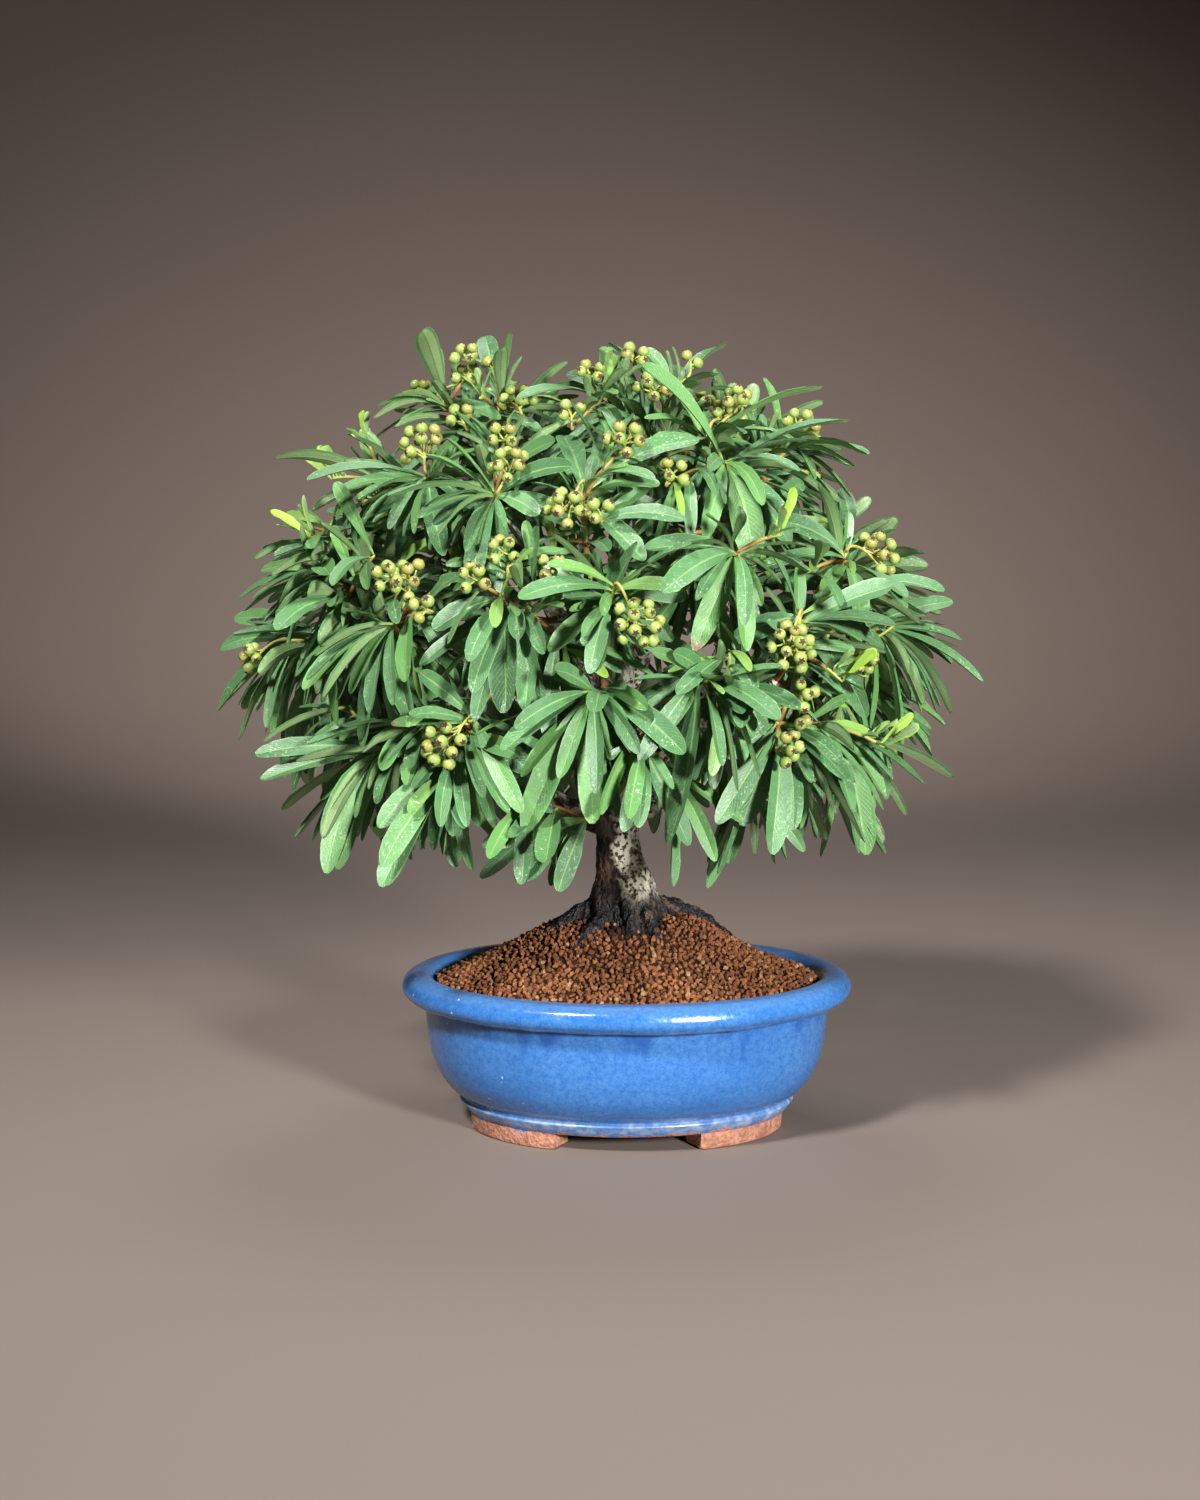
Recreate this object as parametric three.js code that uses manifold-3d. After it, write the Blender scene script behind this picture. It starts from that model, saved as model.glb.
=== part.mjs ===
// Firethorn bonsai in an oval glazed pot. Millimetres, +Z up, standing on z = 0.
// All places are measured from the middle of the pot; STAND then centres the whole tree on the origin.
import * as THREE from 'three';
import { mergeVertices } from 'three/addons/utils/BufferGeometryUtils.js';
import Module from 'manifold-3d';

const wasm = await Module();
wasm.setup();

const vec = (x, y, z) => new THREE.Vector3(x, y, z);

// Driving dimensions
const STAND = [14, 0, 0];
const GAP = 0.35;

// Surfaces: the finest step kept, how close points become one, and how a node that stays open is thickened
const FINEST = 0.02;
const SAME_POINT = 1e-4;
const WELD = 1e-3;
const THICKEN = { step: 0.012, turns: 8 };

// Pot: an oval whose half depth is OVAL less than its half length
const OVAL = 19;
const OVAL_FROM = 60;
const POT_SIDES = 30;
const POT_OUTSIDE = [
  [0, 7.4], [70.8, 7.4], [74.8, 12.6], [73.6, 14.4], [79, 18.5], [83.8, 25], [87, 33], [88.8, 43],
  [90, 57], [96.5, 58.6], [100, 63.2], [98.6, 67.4], [95, 69.8], [90, 70],
];
const POT_INSIDE = [[87.2, 68.2], [84.4, 62], [83.4, 48], [80.5, 33], [75, 22], [66, 15], [0, 15]];
const FOOT = { outer: 70.4, inner: 55, from: 8, to: 63, height: 8 };
const DRAIN = { reach: 35, radius: 7, sides: 12, depth: 20 };
const DRAIN_MESH = { side: 24, thick: 1.2, hole: 6, pitch: 10, count: 2 };

// Soil: a mound of baked clay grains, from the rim up to the foot of the trunk
const SOIL_SIDES = 32;
const SOIL_RINGS = 7;
const SOIL = { rim: 85.4, rimHeight: 66.2, rise: 29.5, power: 1.25, grain: 1.5 };

// Trunk stations: height, middle x, middle y, radius
const TRUNK = [
  [62, 0, 0, 17], [78, 0, 0, 21], [91, 0, 0, 20], [98, -0.5, 0, 17], [104, -1, 0, 14.8], [111, -1.6, 0, 12.6],
  [120, -3.6, 0, 10.4], [129, -4.2, 0, 9.2], [139, -4.4, 0, 9.8], [152, -5, 0, 10.2], [170, -6, 0, 8],
  [190, -8, 0, 6],
];
const TRUNK_SIDES = 10;
const ROOT_FACES = { sides: 5, steps: 3 };
const LIMB_FACES = { sides: 4, steps: 3 };
const BRANCH = { thick: 2.6, sides: 3, steps: 2, rise: 0.12 };

// Roots: three points each, then the radius at each end
const ROOTS = [
  [[8, 5, 98], [34, 15, 98], [58, 17, 66], 4.6, 2.6],
  [[5, -12, 106], [10, -21, 97], [18, -27, 76], 2.6, 2],
  [[0, -12, 104], [2, -21, 98], [3, -26, 76], 2.6, 2],
  [[-8, -3, 99], [-30, -5, 97], [-52, -8, 64], 5, 2.8],
  [[-4, 10, 98], [-8, 30, 95], [-12, 44, 62], 4.6, 2.6],
  [[7, 10, 97], [26, 28, 91], [40, 36, 62], 4, 2.4],
  [[-6, -9, 97], [-20, -23, 93], [-32, -32, 64], 3.8, 2.4],
  [[6, 3, 72], [16, 8, 54], [38, 10, 36], 6, 2.5],
  [[-6, 3, 72], [-16, 8, 52], [-36, 12, 36], 6, 2.5],
];

// Limbs: three points each, then the radius at each end
const LIMBS = [
  [[-4, 0, 132], [-36, -22, 150], [-78, -42, 176], 6, 3],
  [[-5, 0, 150], [-48, 4, 186], [-98, 2, 224], 6, 2.8],
  [[-4, 0, 136], [24, -24, 154], [56, -44, 186], 6, 3],
  [[-5, 0, 152], [40, 2, 186], [82, 0, 222], 6, 2.8],
  [[-8, 0, 184], [-34, -8, 232], [-58, -12, 284], 6, 2.8],
  [[-7, 0, 176], [10, -8, 226], [34, -14, 280], 6, 2.8],
  [[-4, 0, 142], [-34, 34, 166], [-66, 60, 206], 6, 3],
  [[-4, 0, 146], [24, 38, 172], [48, 62, 214], 6, 3],
  [[-6, 0, 162], [-12, -28, 186], [-16, -52, 222], 5.6, 2.8],
  [[-7, 0, 178], [-14, 26, 220], [-22, 46, 262], 5.6, 2.8],
];

// Crown
const CROWN_MIDDLE = vec(-12, 0, 190);
const LOWEST_LEAF = 120;
const LEAF = { spread: 0.21, shortest: 36, longest: 56, keel: 1.25, arch: 0.2, rooted: 0.7 };
const LEAF_CLEAR = 3.4;
const STALK_CLEAR = 2;
const OWN_CLEAR = 1.6;
const BERRY_RADIUS = 2.5;
const SHOWN_BERRIES = 4;
const STALK = { thin: 1, thick: 1.3, sides: 3, steps: 2 };
const PEDICEL = { thick: 0.9, root: 3, sides: 3, steps: 1 };
const BUNCH = { crown: 2.35, cap: 1.05, high: 1.15, wide: 1.1 };
const TWIG = { thick: 1.7, thin: 1.35, sides: 3, steps: 3, length: 34, bend: 0.36 };
const TURN = THREE.MathUtils.degToRad(137.5);

// Sprays seen from the front. A tip is its place, its leading leaves as [dx, dy, dz, width] from there,
// how many more leaves grow round it by rule, and its berries as [count, dx, dy, dz].
const FRONT_SPRAYS = [
  [
    [[-80, -14, 320], [[26, -14, -8, 9], [-17, -8, -9, 7], [-7, 3, 13, 6], [6, 2, 13, 5]],
      3, [5, 10, 2, 14]],
    [[-52, -12, 320], [[2, 0, 29, 9], [5, -4, 19, 6], [-14, -18, -16, 9], [16, -16, -14, 9]], 2],
  ],
  [
    [[-12, -14, 323], [[11, -2, 19, 7], [-23, -8, 4, 9], [-2, -22, -36, 9], [-22, -20, -30, 8]],
      2, [5, -4, -8, 12]],
    [[17, -17, 321], [[34, -6, 2, 7], [16, 4, 11, 7], [26, -12, -14, 8]], 3, [8, -6, -12, 8]],
  ],
  [
    [[34, -36, 306], [[38, -4, -4, 9], [22, -8, -10, 8], [-24, -12, -4, 10], [-2, -14, -26, 8]],
      2, [8, 10, 14, 12]],
  ],
  [
    [[72, -14, 303], [[6, -10, -16, 9], [18, -4, -24, 7], [22, 6, -36, 7], [-12, -4, 10, 9]],
      4, [10, 6, 2, 10]],
  ],
  [
    [[-110, -10, 286], [[-9, -2, 15, 7], [12, 2, 15, 5], [-14, -6, -8, 6], [10, -16, -10, 7]], 3],
    [[-84, -46, 288], [[-13, -10, -22, 6], [-24, -6, -18, 6], [20, -10, 10, 11], [24, -14, -14, 11]],
      2, [12, -6, 10, 18]],
  ],
  [
    [[-54, -66, 280], [[-24, -10, -12, 9], [14, -10, -8, 9], [3, -16, -40, 12], [28, -10, -12, 10]],
      2, [9, 4, -2, 16]],
  ],
  [
    [[-18, -74, 284], [[-28, -12, 6, 10], [30, -8, 0, 9], [-10, -14, -38, 12], [24, -12, -30, 11]],
      2, [10, -8, -12, -6]],
  ],
  [[[40, -54, 294], [[-9, -14, -32, 9], [2, -18, -42, 15], [22, -12, -34, 12], [-13, -8, -28, 6]], 2]],
  [
    [[44, -80, 256], [[-38, -8, 3, 11], [-18, -8, -38, 11], [2, -8, -38, 10], [30, -4, -6, 9],
      [16, -6, 12, 6]], 1],
  ],
  [
    [[92, -36, 256], [[-28, -12, 14, 11], [10, -8, -24, 9], [16, -2, 8, 8], [-12, -14, -24, 10]],
      3, [12, 20, 8, 2]],
  ],
  [
    [[-128, -14, 268], [[-18, -4, 0, 6], [26, -16, 0, 9], [-6, -10, -20, 9], [2, -2, 18, 5]], 2],
    [[-132, -22, 248], [[-28, -6, -12, 7], [-24, -2, -22, 7], [-14, -8, -34, 8], [8, -12, -22, 11]], 2],
  ],
  [
    [[-146, -18, 218], [[-24, -4, 5, 7], [-22, -4, -28, 6], [-10, -6, -40, 8], [-2, -10, -46, 8],
      [10, -6, -46, 7]], 2, [5, -17, -14, -6]],
  ],
  [
    [[-122, -40, 238], [[0, -10, -54, 11], [-14, -8, -46, 7], [12, -14, -30, 12], [18, -8, -50, 10]], 1],
    [[-95, -72, 228], [[-18, -8, -28, 11], [-2, -12, -24, 8], [-14, -2, -50, 10], [6, -6, -42, 7]],
      1, [9, 2, -2, 20]],
  ],
  [
    [[-52, -88, 240], [[-26, -8, -13, 12], [2, -12, -46, 15], [17, -8, -52, 12], [-10, -6, -50, 9],
      [-32, 0, -28, 8]], 1],
  ],
  [
    [[-6, -92, 244], [[14, -10, -44, 11], [28, -6, -6, 12], [-6, -10, -34, 9], [-20, -8, -4, 10],
      [-26, -4, -26, 10]], 1, [13, 10, -10, -12]],
  ],
  [
    [[-16, -94, 202], [[-26, -4, -56, 13], [1, -8, -52, 13], [-16, -2, -34, 8], [20, -6, -26, 8],
      [-14, -6, 6, 8]], 1],
    [[8, -92, 178], [[-16, -8, -2, 5], [-4, -6, -28, 10], [-15, -8, 14, 8], [16, -2, -38, 10]], 1],
  ],
  [
    [[-62, -86, 192], [[-20, -8, 18, 8], [-24, -6, -6, 10], [22, -6, -22, 12], [8, -2, -46, 7]],
      1, [11, -16, -10, -12]],
    [[-72, -74, 166], [[12, -2, -46, 7], [-8, -6, -30, 11], [18, 0, -26, 8], [-26, -4, -20, 8]], 1],
  ],
  [
    [[26, -90, 208], [[-16, -6, -66, 18], [-16, -10, -24, 9], [24, -6, -24, 13], [8, 2, -46, 10]], 1],
    [[40, -84, 218], [[28, -8, -16, 12], [-18, -8, 22, 10], [-6, -6, -34, 10], [12, -4, -34, 9]], 1],
  ],
  [
    [[70, -72, 232], [[-24, -8, -12, 12], [36, -8, 12, 13], [26, -4, -44, 10], [0, -8, 26, 9],
      [12, -6, -40, 9]], 1, [14, 0, -12, -12]],
  ],
  [
    [[112, -20, 224], [[24, 0, 10, 9], [36, -2, -24, 8], [6, -6, -60, 12], [16, 4, -38, 6],
      [-8, -8, -44, 10]], 2, [14, -8, -18, -8]],
  ],
  [
    [[60, -76, 188], [[-14, -4, -42, 13], [-20, -6, -14, 8], [0, -2, -48, 12], [14, -6, -24, 9]], 1],
    [[78, -62, 186], [[18, 0, -54, 7], [28, 0, -36, 5], [-6, 2, -44, 9], [12, -6, 12, 5]], 1],
  ],
  [[[-106, -52, 174], [[4, -4, -32, 10], [26, 4, -34, 10], [-10, -2, -24, 6], [-12, -4, -44, 9]], 3]],
  [[[-16, -74, 148], [[-42, -4, -10, 10], [-10, -4, -16, 9], [20, 0, -20, 7]], 1]],
];

// Sprays on the sides and the back, spread evenly over the dome, with berries on every other one
const BACK = {
  count: 12, leaves: 10, lowest: -0.2, highest: 0.95, reach: [118, 100, 108], middle: [-14, 4, 208],
};
const BACK_BERRIES = [1, 3, 6, 8, 11];
const BACK_BERRY_COUNT = 10;
const GOLDEN = 0.618034;

// Colours and finishes
const finish = (color, roughness) => new THREE.MeshStandardMaterial({ color, roughness, metalness: 0 });
const GLAZE = finish(0x2f66b8, 0.22);
const CLAY_GRAIN = finish(0x8a4a28, 0.95);
const BARK = finish(0x4a4038, 0.9);
const LEAF_GREEN = finish(0x3f7a45, 0.5);
const BERRY_GREEN = finish(0xa9bf4a, 0.4);
const MESH_PLASTIC = finish(0x20221f, 0.6);

// A repeatable stream of numbers from 0 to 1
function seeded(seed) {
  let state = seed >>> 0;
  return () => {
    state = (state + 0x6d2b79f5) >>> 0;
    let t = state;
    t = Math.imul(t ^ (t >>> 15), t | 1);
    t ^= t + Math.imul(t ^ (t >>> 7), t | 61);
    return ((t ^ (t >>> 14)) >>> 0) / 4294967296;
  };
}

// Solids

const manifoldOf = (positions, corners) => new wasm.Manifold(new wasm.Mesh({
  numProp: 3, vertProperties: new Float32Array(positions), triVerts: new Uint32Array(corners),
}));

function solidOf(geometry) {
  const bare = geometry.clone();
  bare.deleteAttribute('normal');
  bare.deleteAttribute('uv');
  const merged = mergeVertices(bare, SAME_POINT);
  const corners = merged.index.array;
  const kept = [];
  for (let i = 0; i < corners.length; i += 3) {
    const [a, b, c] = corners.slice(i, i + 3);
    if (a !== b && b !== c && c !== a) kept.push(a, b, c);
  }
  return manifoldOf(merged.attributes.position.array, kept);
}

const joined = (solids) => solids.reduce((whole, solid) => whole.add(solid));

function largest(solid) {
  const bodies = solid.decompose();
  return bodies.reduce((best, body) => (body.volume() > best.volume() ? body : best));
}

// Whether every edge still has two faces where the part stands, once points this close together are one
function staysClosed(solid) {
  const placed = geometryOf(solid).toNonIndexed().translate(...STAND);
  placed.deleteAttribute('normal');
  const merged = mergeVertices(placed, WELD);
  let mesh;
  try {
    mesh = manifoldOf(merged.attributes.position.array, merged.index.array);
  } catch {
    return false;
  }
  if (mesh.decompose().length !== 1) return false;
  const { vertProperties, triVerts } = mesh.getMesh();
  const ids = new Map();
  const idOf = (vertex) => {
    const key = [0, 1, 2].map((i) => Math.round(vertProperties[3 * vertex + i] / SAME_POINT)).join();
    if (!ids.has(key)) ids.set(key, ids.size);
    return ids.get(key);
  };
  const faces = new Map();
  for (let i = 0; i < triVerts.length; i += 3) {
    const [a, b, c] = [...triVerts.slice(i, i + 3)].map(idOf);
    if (a === b || b === c || c === a) continue;
    for (const [from, to] of [[a, b], [b, c], [c, a]]) {
      const edge = `${Math.min(from, to)},${Math.max(from, to)}`;
      faces.set(edge, (faces.get(edge) ?? 0) + 1);
    }
  }
  return [...faces.values()].every((count) => count === 2);
}

// Makes a fused node a hair thicker each time, until its surface stays closed
function fused(make) {
  for (let turn = 0; turn < THICKEN.turns; turn++) {
    const solid = make(1 + THICKEN.step * turn).simplify(FINEST);
    if (staysClosed(solid)) return solid;
  }
  throw new Error('a fused node stays open');
}

function geometryOf(solid) {
  const { vertProperties, triVerts } = solid.getMesh();
  const geometry = new THREE.BufferGeometry();
  geometry.setAttribute('position', new THREE.BufferAttribute(vertProperties, 3));
  geometry.setIndex(new THREE.BufferAttribute(triVerts, 1));
  geometry.computeVertexNormals();
  return geometry;
}

// Moves every point of a geometry by a rule of its own place and its (u, v)
function reshaped(geometry, place) {
  const { position, uv } = geometry.attributes;
  for (let i = 0; i < position.count; i++) {
    const to = place(vec(position.getX(i), position.getY(i), position.getZ(i)), uv.getX(i), uv.getY(i));
    position.setXYZ(i, to.x, to.y, to.z);
  }
  return geometry;
}

const across = (along, facing) => {
  const normal = facing.clone().addScaledVector(along, -facing.dot(along)).normalize();
  return { normal, side: along.clone().cross(normal) };
};

const bend = (points) => new THREE.QuadraticBezierCurve3(...points.slice(0, 3).map((at) => vec(...at)));

// A round stem along a curve, from one radius to another, grown all over by a margin
function stem(curve, from, to, { sides, steps }, grow = 0) {
  const first = curve.getTangent(0);
  const facing = Math.abs(first.z) > 0.8 ? vec(1, 0, 0) : vec(0, 0, 1);
  return solidOf(reshaped(new THREE.CylinderGeometry(1, 1, 1, sides, steps), (p) => {
    const t = p.y + 0.5;
    const along = curve.getTangent(t);
    const { normal, side } = across(along, facing);
    const radius = THREE.MathUtils.lerp(from, to, t) + grow;
    const cap = grow * (t > 0.999 ? 1 : t < 0.001 ? -1 : 0);
    return curve.getPoint(t).addScaledVector(along, cap)
      .addScaledVector(side, p.x * radius).addScaledVector(normal, p.z * radius);
  }));
}

// Pot

const ovalShare = (radius) => (Math.max(radius, OVAL_FROM) - OVAL) / Math.max(radius, OVAL_FROM);

function oval(profile, sides) {
  const lathe = new THREE.LatheGeometry(profile.map(([r, z]) => new THREE.Vector2(r, z)), sides);
  lathe.rotateX(Math.PI / 2);
  return reshaped(lathe, (p) => vec(p.x, -p.y * ovalShare(Math.hypot(p.x, p.y)), p.z));
}

function ovalArc(radius, from, to, steps) {
  return Array.from({ length: steps + 1 }, (_, i) => {
    const angle = THREE.MathUtils.degToRad(from + ((to - from) * i) / steps);
    return new THREE.Vector2(radius * Math.cos(angle), (radius - OVAL) * Math.sin(angle));
  });
}

function foot(from, to) {
  const outline = [...ovalArc(FOOT.outer, from, to, 6), ...ovalArc(FOOT.inner, to, from, 6)];
  const upright = { depth: FOOT.height, bevelEnabled: false };
  return solidOf(new THREE.ExtrudeGeometry(new THREE.Shape(outline), upright));
}

function drainHole(x) {
  const hole = new THREE.CylinderGeometry(DRAIN.radius, DRAIN.radius, DRAIN.depth, DRAIN.sides);
  return solidOf(hole.rotateX(Math.PI / 2).translate(x, 0, DRAIN.depth / 2));
}

function pot() {
  let body = solidOf(oval([...POT_OUTSIDE, ...POT_INSIDE].reverse(), POT_SIDES));
  for (const start of [0, 180]) {
    body = body.add(foot(start + FOOT.from, start + FOOT.to)).add(foot(start - FOOT.to, start - FOOT.from));
  }
  return body.subtract(drainHole(DRAIN.reach)).subtract(drainHole(-DRAIN.reach));
}

// A square of plastic net that keeps the soil in over a drain hole
function drainMesh(x) {
  const { side, thick, hole, pitch, count } = DRAIN_MESH;
  const height = POT_INSIDE.at(-1)[1] + GAP + thick / 2;
  const block = (width, depth, cx, cy) =>
    solidOf(new THREE.BoxGeometry(width, width, depth).translate(cx, cy, height));
  let net = block(side, thick, x, 0);
  for (let i = 0; i < count * count; i++) {
    const across = (i % count) - (count - 1) / 2;
    const down = Math.floor(i / count) - (count - 1) / 2;
    net = net.subtract(block(hole, 2 * thick, x + across * pitch, down * pitch));
  }
  return net;
}

// Trunk, roots and branches

function trunkPole(grow = 0) {
  const rows = TRUNK.length - 1;
  return solidOf(reshaped(new THREE.CylinderGeometry(1, 1, 1, TRUNK_SIDES, rows), (p) => {
    const row = Math.round((p.y + 0.5) * rows);
    const [height, x, y, radius] = TRUNK[row];
    const angle = Math.atan2(p.z, p.x);
    const flare = Math.max(0, radius - 10) / 10;
    const lobes = 1 + 0.12 * flare * Math.cos(5 * angle + 0.6) + 0.04 * Math.cos(3 * angle + row);
    const cap = grow * (row === rows ? 1 : row === 0 ? -1 : 0);
    return vec(x + p.x * (radius * lobes + grow), y - p.z * (radius * lobes + grow), height + cap);
  }));
}

const roots = (grow = 0) => ROOTS.map((root) => stem(bend(root), root[3], root[4], ROOT_FACES, grow));
const limbCurves = LIMBS.map(bend);

// Where each spray leaves the branches: the nearest limb, a branch from it, and the spray's own start
function spraySeat(tips) {
  const middle = tips.reduce((sum, tip) => sum.add(tip), vec(0, 0, 0)).divideScalar(tips.length);
  let anchor = null;
  for (const curve of limbCurves) {
    for (let i = 3; i <= 10; i++) {
      const point = curve.getPoint(i / 10);
      if (!anchor || point.distanceTo(middle) < anchor.distanceTo(middle)) anchor = point;
    }
  }
  const reach = middle.distanceTo(anchor);
  const outward = middle.clone().sub(anchor).normalize();
  const end = middle.clone().addScaledVector(outward, -Math.min(TWIG.length, reach * 0.6));
  const elbow = anchor.clone().lerp(end, 0.5).add(vec(0, 0, BRANCH.rise * reach));
  const branch = new THREE.QuadraticBezierCurve3(anchor, elbow, end);
  const along = branch.getTangent(1);
  return { branch, along, start: end.clone().addScaledVector(along, GAP) };
}

function twigCurve(seat, tip) {
  const elbow = seat.start.clone().addScaledVector(seat.along, TWIG.bend * tip.distanceTo(seat.start));
  return new THREE.QuadraticBezierCurve3(seat.start, elbow, tip);
}

// The middle of the faceted twig at a share of its length
function onTwig(curve, share) {
  const step = Math.floor(share * TWIG.steps);
  const from = curve.getPoint(step / TWIG.steps);
  return from.lerp(curve.getPoint((step + 1) / TWIG.steps), share * TWIG.steps - step);
}

function soil() {
  const wall = POT_INSIDE.slice(1).map(([r, z]) => [Math.max(0, r - 1.4 * GAP), z + GAP]);
  const rings = Array.from({ length: SOIL_RINGS }, (_, i) => {
    const share = (SOIL_RINGS - i) / SOIL_RINGS;
    return [SOIL.rim * share, SOIL.rimHeight + SOIL.rise * (1 - share ** SOIL.power)];
  });
  const profile = [[0, SOIL.rimHeight + SOIL.rise], ...rings.reverse(), ...wall];
  const random = seeded(7);
  const lift = new Map();
  const ground = reshaped(oval(profile, SOIL_SIDES), (p) => {
    const radius = Math.hypot(p.x, p.y);
    if (p.z < SOIL.rimHeight + 0.5 || radius < 1) return p;
    const key = `${Math.round(p.x * 50)},${Math.round(p.y * 50)}`;
    if (!lift.has(key)) lift.set(key, (random() * 2 - 1) * SOIL.grain);
    return vec(p.x, p.y, p.z + lift.get(key));
  });
  let body = solidOf(ground).subtract(trunkPole(GAP));
  for (const root of roots(GAP)) body = body.subtract(root);
  const pocketTop = POT_INSIDE.at(-1)[1] + DRAIN_MESH.thick + 2 * GAP;
  const pocketSide = DRAIN_MESH.side + 2 * GAP;
  for (const x of [DRAIN.reach, -DRAIN.reach]) {
    const pocket = new THREE.BoxGeometry(pocketSide, pocketSide, 4);
    body = body.subtract(solidOf(pocket.translate(x, 0, pocketTop - 2)));
  }
  return largest(body);
}

// Room in the crown: every placed piece leaves points that later ones keep clear of

const CELL = 4;
const room = new Map();
const cellKey = (i, j, k) => ((i + 500) * 1000 + (j + 500)) * 1000 + (k + 500);

function occupy(points, owner, inner, thin = false) {
  points.forEach((p, n) => {
    const key = cellKey(Math.floor(p.x / CELL), Math.floor(p.y / CELL), Math.floor(p.z / CELL));
    if (!room.has(key)) room.set(key, []);
    room.get(key).push({ p, owner, thin, inner: n < inner });
  });
}

function isClear(points, owner, inner) {
  return points.every((p, n) => {
    const [ci, cj, ck] = [p.x, p.y, p.z].map((v) => Math.floor(v / CELL));
    for (let i = ci - 1; i <= ci + 1; i++) {
      for (let j = cj - 1; j <= cj + 1; j++) {
        for (let k = ck - 1; k <= ck + 1; k++) {
          for (const other of room.get(cellKey(i, j, k)) ?? []) {
            if (other.owner !== owner) {
              const needed = n < inner && other.thin ? STALK_CLEAR : LEAF_CLEAR;
              if (other.p.distanceTo(p) < needed) return false;
            } else if (n >= inner && !other.inner && other.p.distanceTo(p) < OWN_CLEAR) return false;
          }
        }
      }
    }
    return true;
  });
}

function occupyStem(curve, owner) {
  const steps = Math.ceil(curve.getLength() / 2.5);
  const points = Array.from({ length: steps + 1 }, (_, i) => curve.getPoint(i / steps));
  occupy(points, owner, points.length, true);
}

// Leaves: a narrow blade, broadest two thirds along, with a round tip and a keel below its middle

const LEAF_ROWS = [[0, 0, 0], [0.42, 0.76, 1], [0.82, 0.92, 0.8], [1, 0, 0]];
const SAMPLE_ROWS = 15;
const INNER_ROWS = 5;

const BROADEST = 0.66;

// How broad a leaf is at a share of its length
function bladeShare(s) {
  if (s < BROADEST) return 0.1 + 0.9 * Math.sin((Math.PI / 2) * (s / BROADEST)) ** 1.3;
  return 1 - ((s - BROADEST) / 0.36) ** 2.4;
}

function leafAt(base, tip, width, roll) {
  const length = tip.distanceTo(base);
  const outward = base.clone().lerp(tip, 0.5).sub(CROWN_MIDDLE).normalize();
  const lift = outward.clone().multiplyScalar(0.7).add(vec(0, 0, 0.7)).multiplyScalar(LEAF.arch * length);
  const rib = new THREE.QuadraticBezierCurve3(base, base.clone().lerp(tip, 0.45).add(lift), tip);
  const facing = outward.add(vec(0, 0, 0.45)).applyAxisAngle(tip.clone().sub(base).normalize(), roll);
  const frame = (s) => {
    const along = rib.getTangent(s);
    return { point: rib.getPoint(s), along, ...across(along, facing) };
  };
  const points = [];
  for (let row = 1; row <= SAMPLE_ROWS; row++) {
    const s = row / SAMPLE_ROWS;
    const { point, side } = frame(s);
    for (const share of [-0.5, -0.25, 0, 0.25, 0.5]) {
      points.push(point.clone().addScaledVector(side, share * width * bladeShare(Math.min(s, 0.97))));
    }
  }
  return { frame, width, points };
}

function leafSolid({ frame, width }, thicker) {
  const rows = LEAF_ROWS.length - 1;
  return solidOf(reshaped(new THREE.CylinderGeometry(0, 0, 1, 3, rows), (_, u, v) => {
    const [s, broad, deep] = LEAF_ROWS[Math.round(v * rows)];
    const corner = Math.round(u * 3) % 3;
    const { point, along, side, normal } = frame(s);
    if (s === 0) point.addScaledVector(along, -LEAF.rooted * thicker);
    const shift = [0.5, 0, -0.5][corner] * width * broad;
    const keel = corner === 1 ? LEAF.keel * deep * thicker : 0;
    return point.addScaledVector(side, shift).addScaledVector(normal, -keel);
  }));
}

// Tries a leaf in place, then turned or lifted a little, until it is clear of its neighbours
function placeLeaf(leaves, owner, attempts) {
  for (const make of attempts) {
    const leaf = make();
    const low = Math.min(...leaf.points.map((p) => p.z));
    const inner = INNER_ROWS * 5;
    if (low > LOWEST_LEAF && isClear(leaf.points, owner, inner)) {
      occupy(leaf.points, owner, inner);
      leaves.push(leaf);
      return;
    }
  }
}

function leadingLeaves(spray) {
  spray.tips.forEach((tip) => {
    tip.leading.forEach(([dx, dy, dz, width], n) => {
      const base = onTwig(tip.curve, 0.95 - 0.07 * n);
      const out = vec(dx, dy, dz).setZ(0).normalize();
      const attempts = Array.from({ length: 20 }, (_, k) => () => {
        const swing = (k % 2 ? 1 : -1) * Math.ceil(k / 2) * 0.07;
        const reach = vec(dx, dy, dz).applyAxisAngle(vec(0, 0, 1), swing).addScaledVector(out, 2 * (k % 4));
        return leafAt(base, tip.place.clone().add(reach), width, 2 * swing);
      });
      placeLeaf(spray.leaves, spray.name, attempts);
    });
  });
}

function ruleLeaves(spray) {
  spray.tips.forEach((tip) => {
    const random = seeded(tip.seed);
    const along = tip.curve.getTangent(1);
    const outward = tip.place.clone().sub(CROWN_MIDDLE).normalize();
    const droop = 0.2 + 1.3 * (1 - Math.max(0, outward.z));
    const { normal, side } = across(along, Math.abs(along.z) > 0.9 ? vec(1, 0, 0) : vec(0, 0, 1));
    for (let n = 0; n < tip.more; n++) {
      const base = onTwig(tip.curve, 0.92 - 0.05 * n);
      const length = THREE.MathUtils.lerp(LEAF.shortest, LEAF.longest, random());
      const start = n * TURN + random() * 0.5;
      const roll = (random() - 0.5) * 0.9;
      const attempts = Array.from({ length: 14 }, (_, k) => () => {
        const angle = start + k * 0.47;
        const aim = side.clone().multiplyScalar(Math.cos(angle)).addScaledVector(normal, Math.sin(angle))
          .addScaledVector(along, 0.5).addScaledVector(outward, 0.35).add(vec(0, 0, -droop)).normalize();
        const reach = length * (1 - 0.02 * k);
        return leafAt(base, base.clone().addScaledVector(aim, reach), LEAF.spread * length, roll);
      });
      placeLeaf(spray.leaves, spray.name, attempts);
    }
  });
}

// Berries: a flat-topped bunch on a short stalk that carries on from the twig

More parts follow.
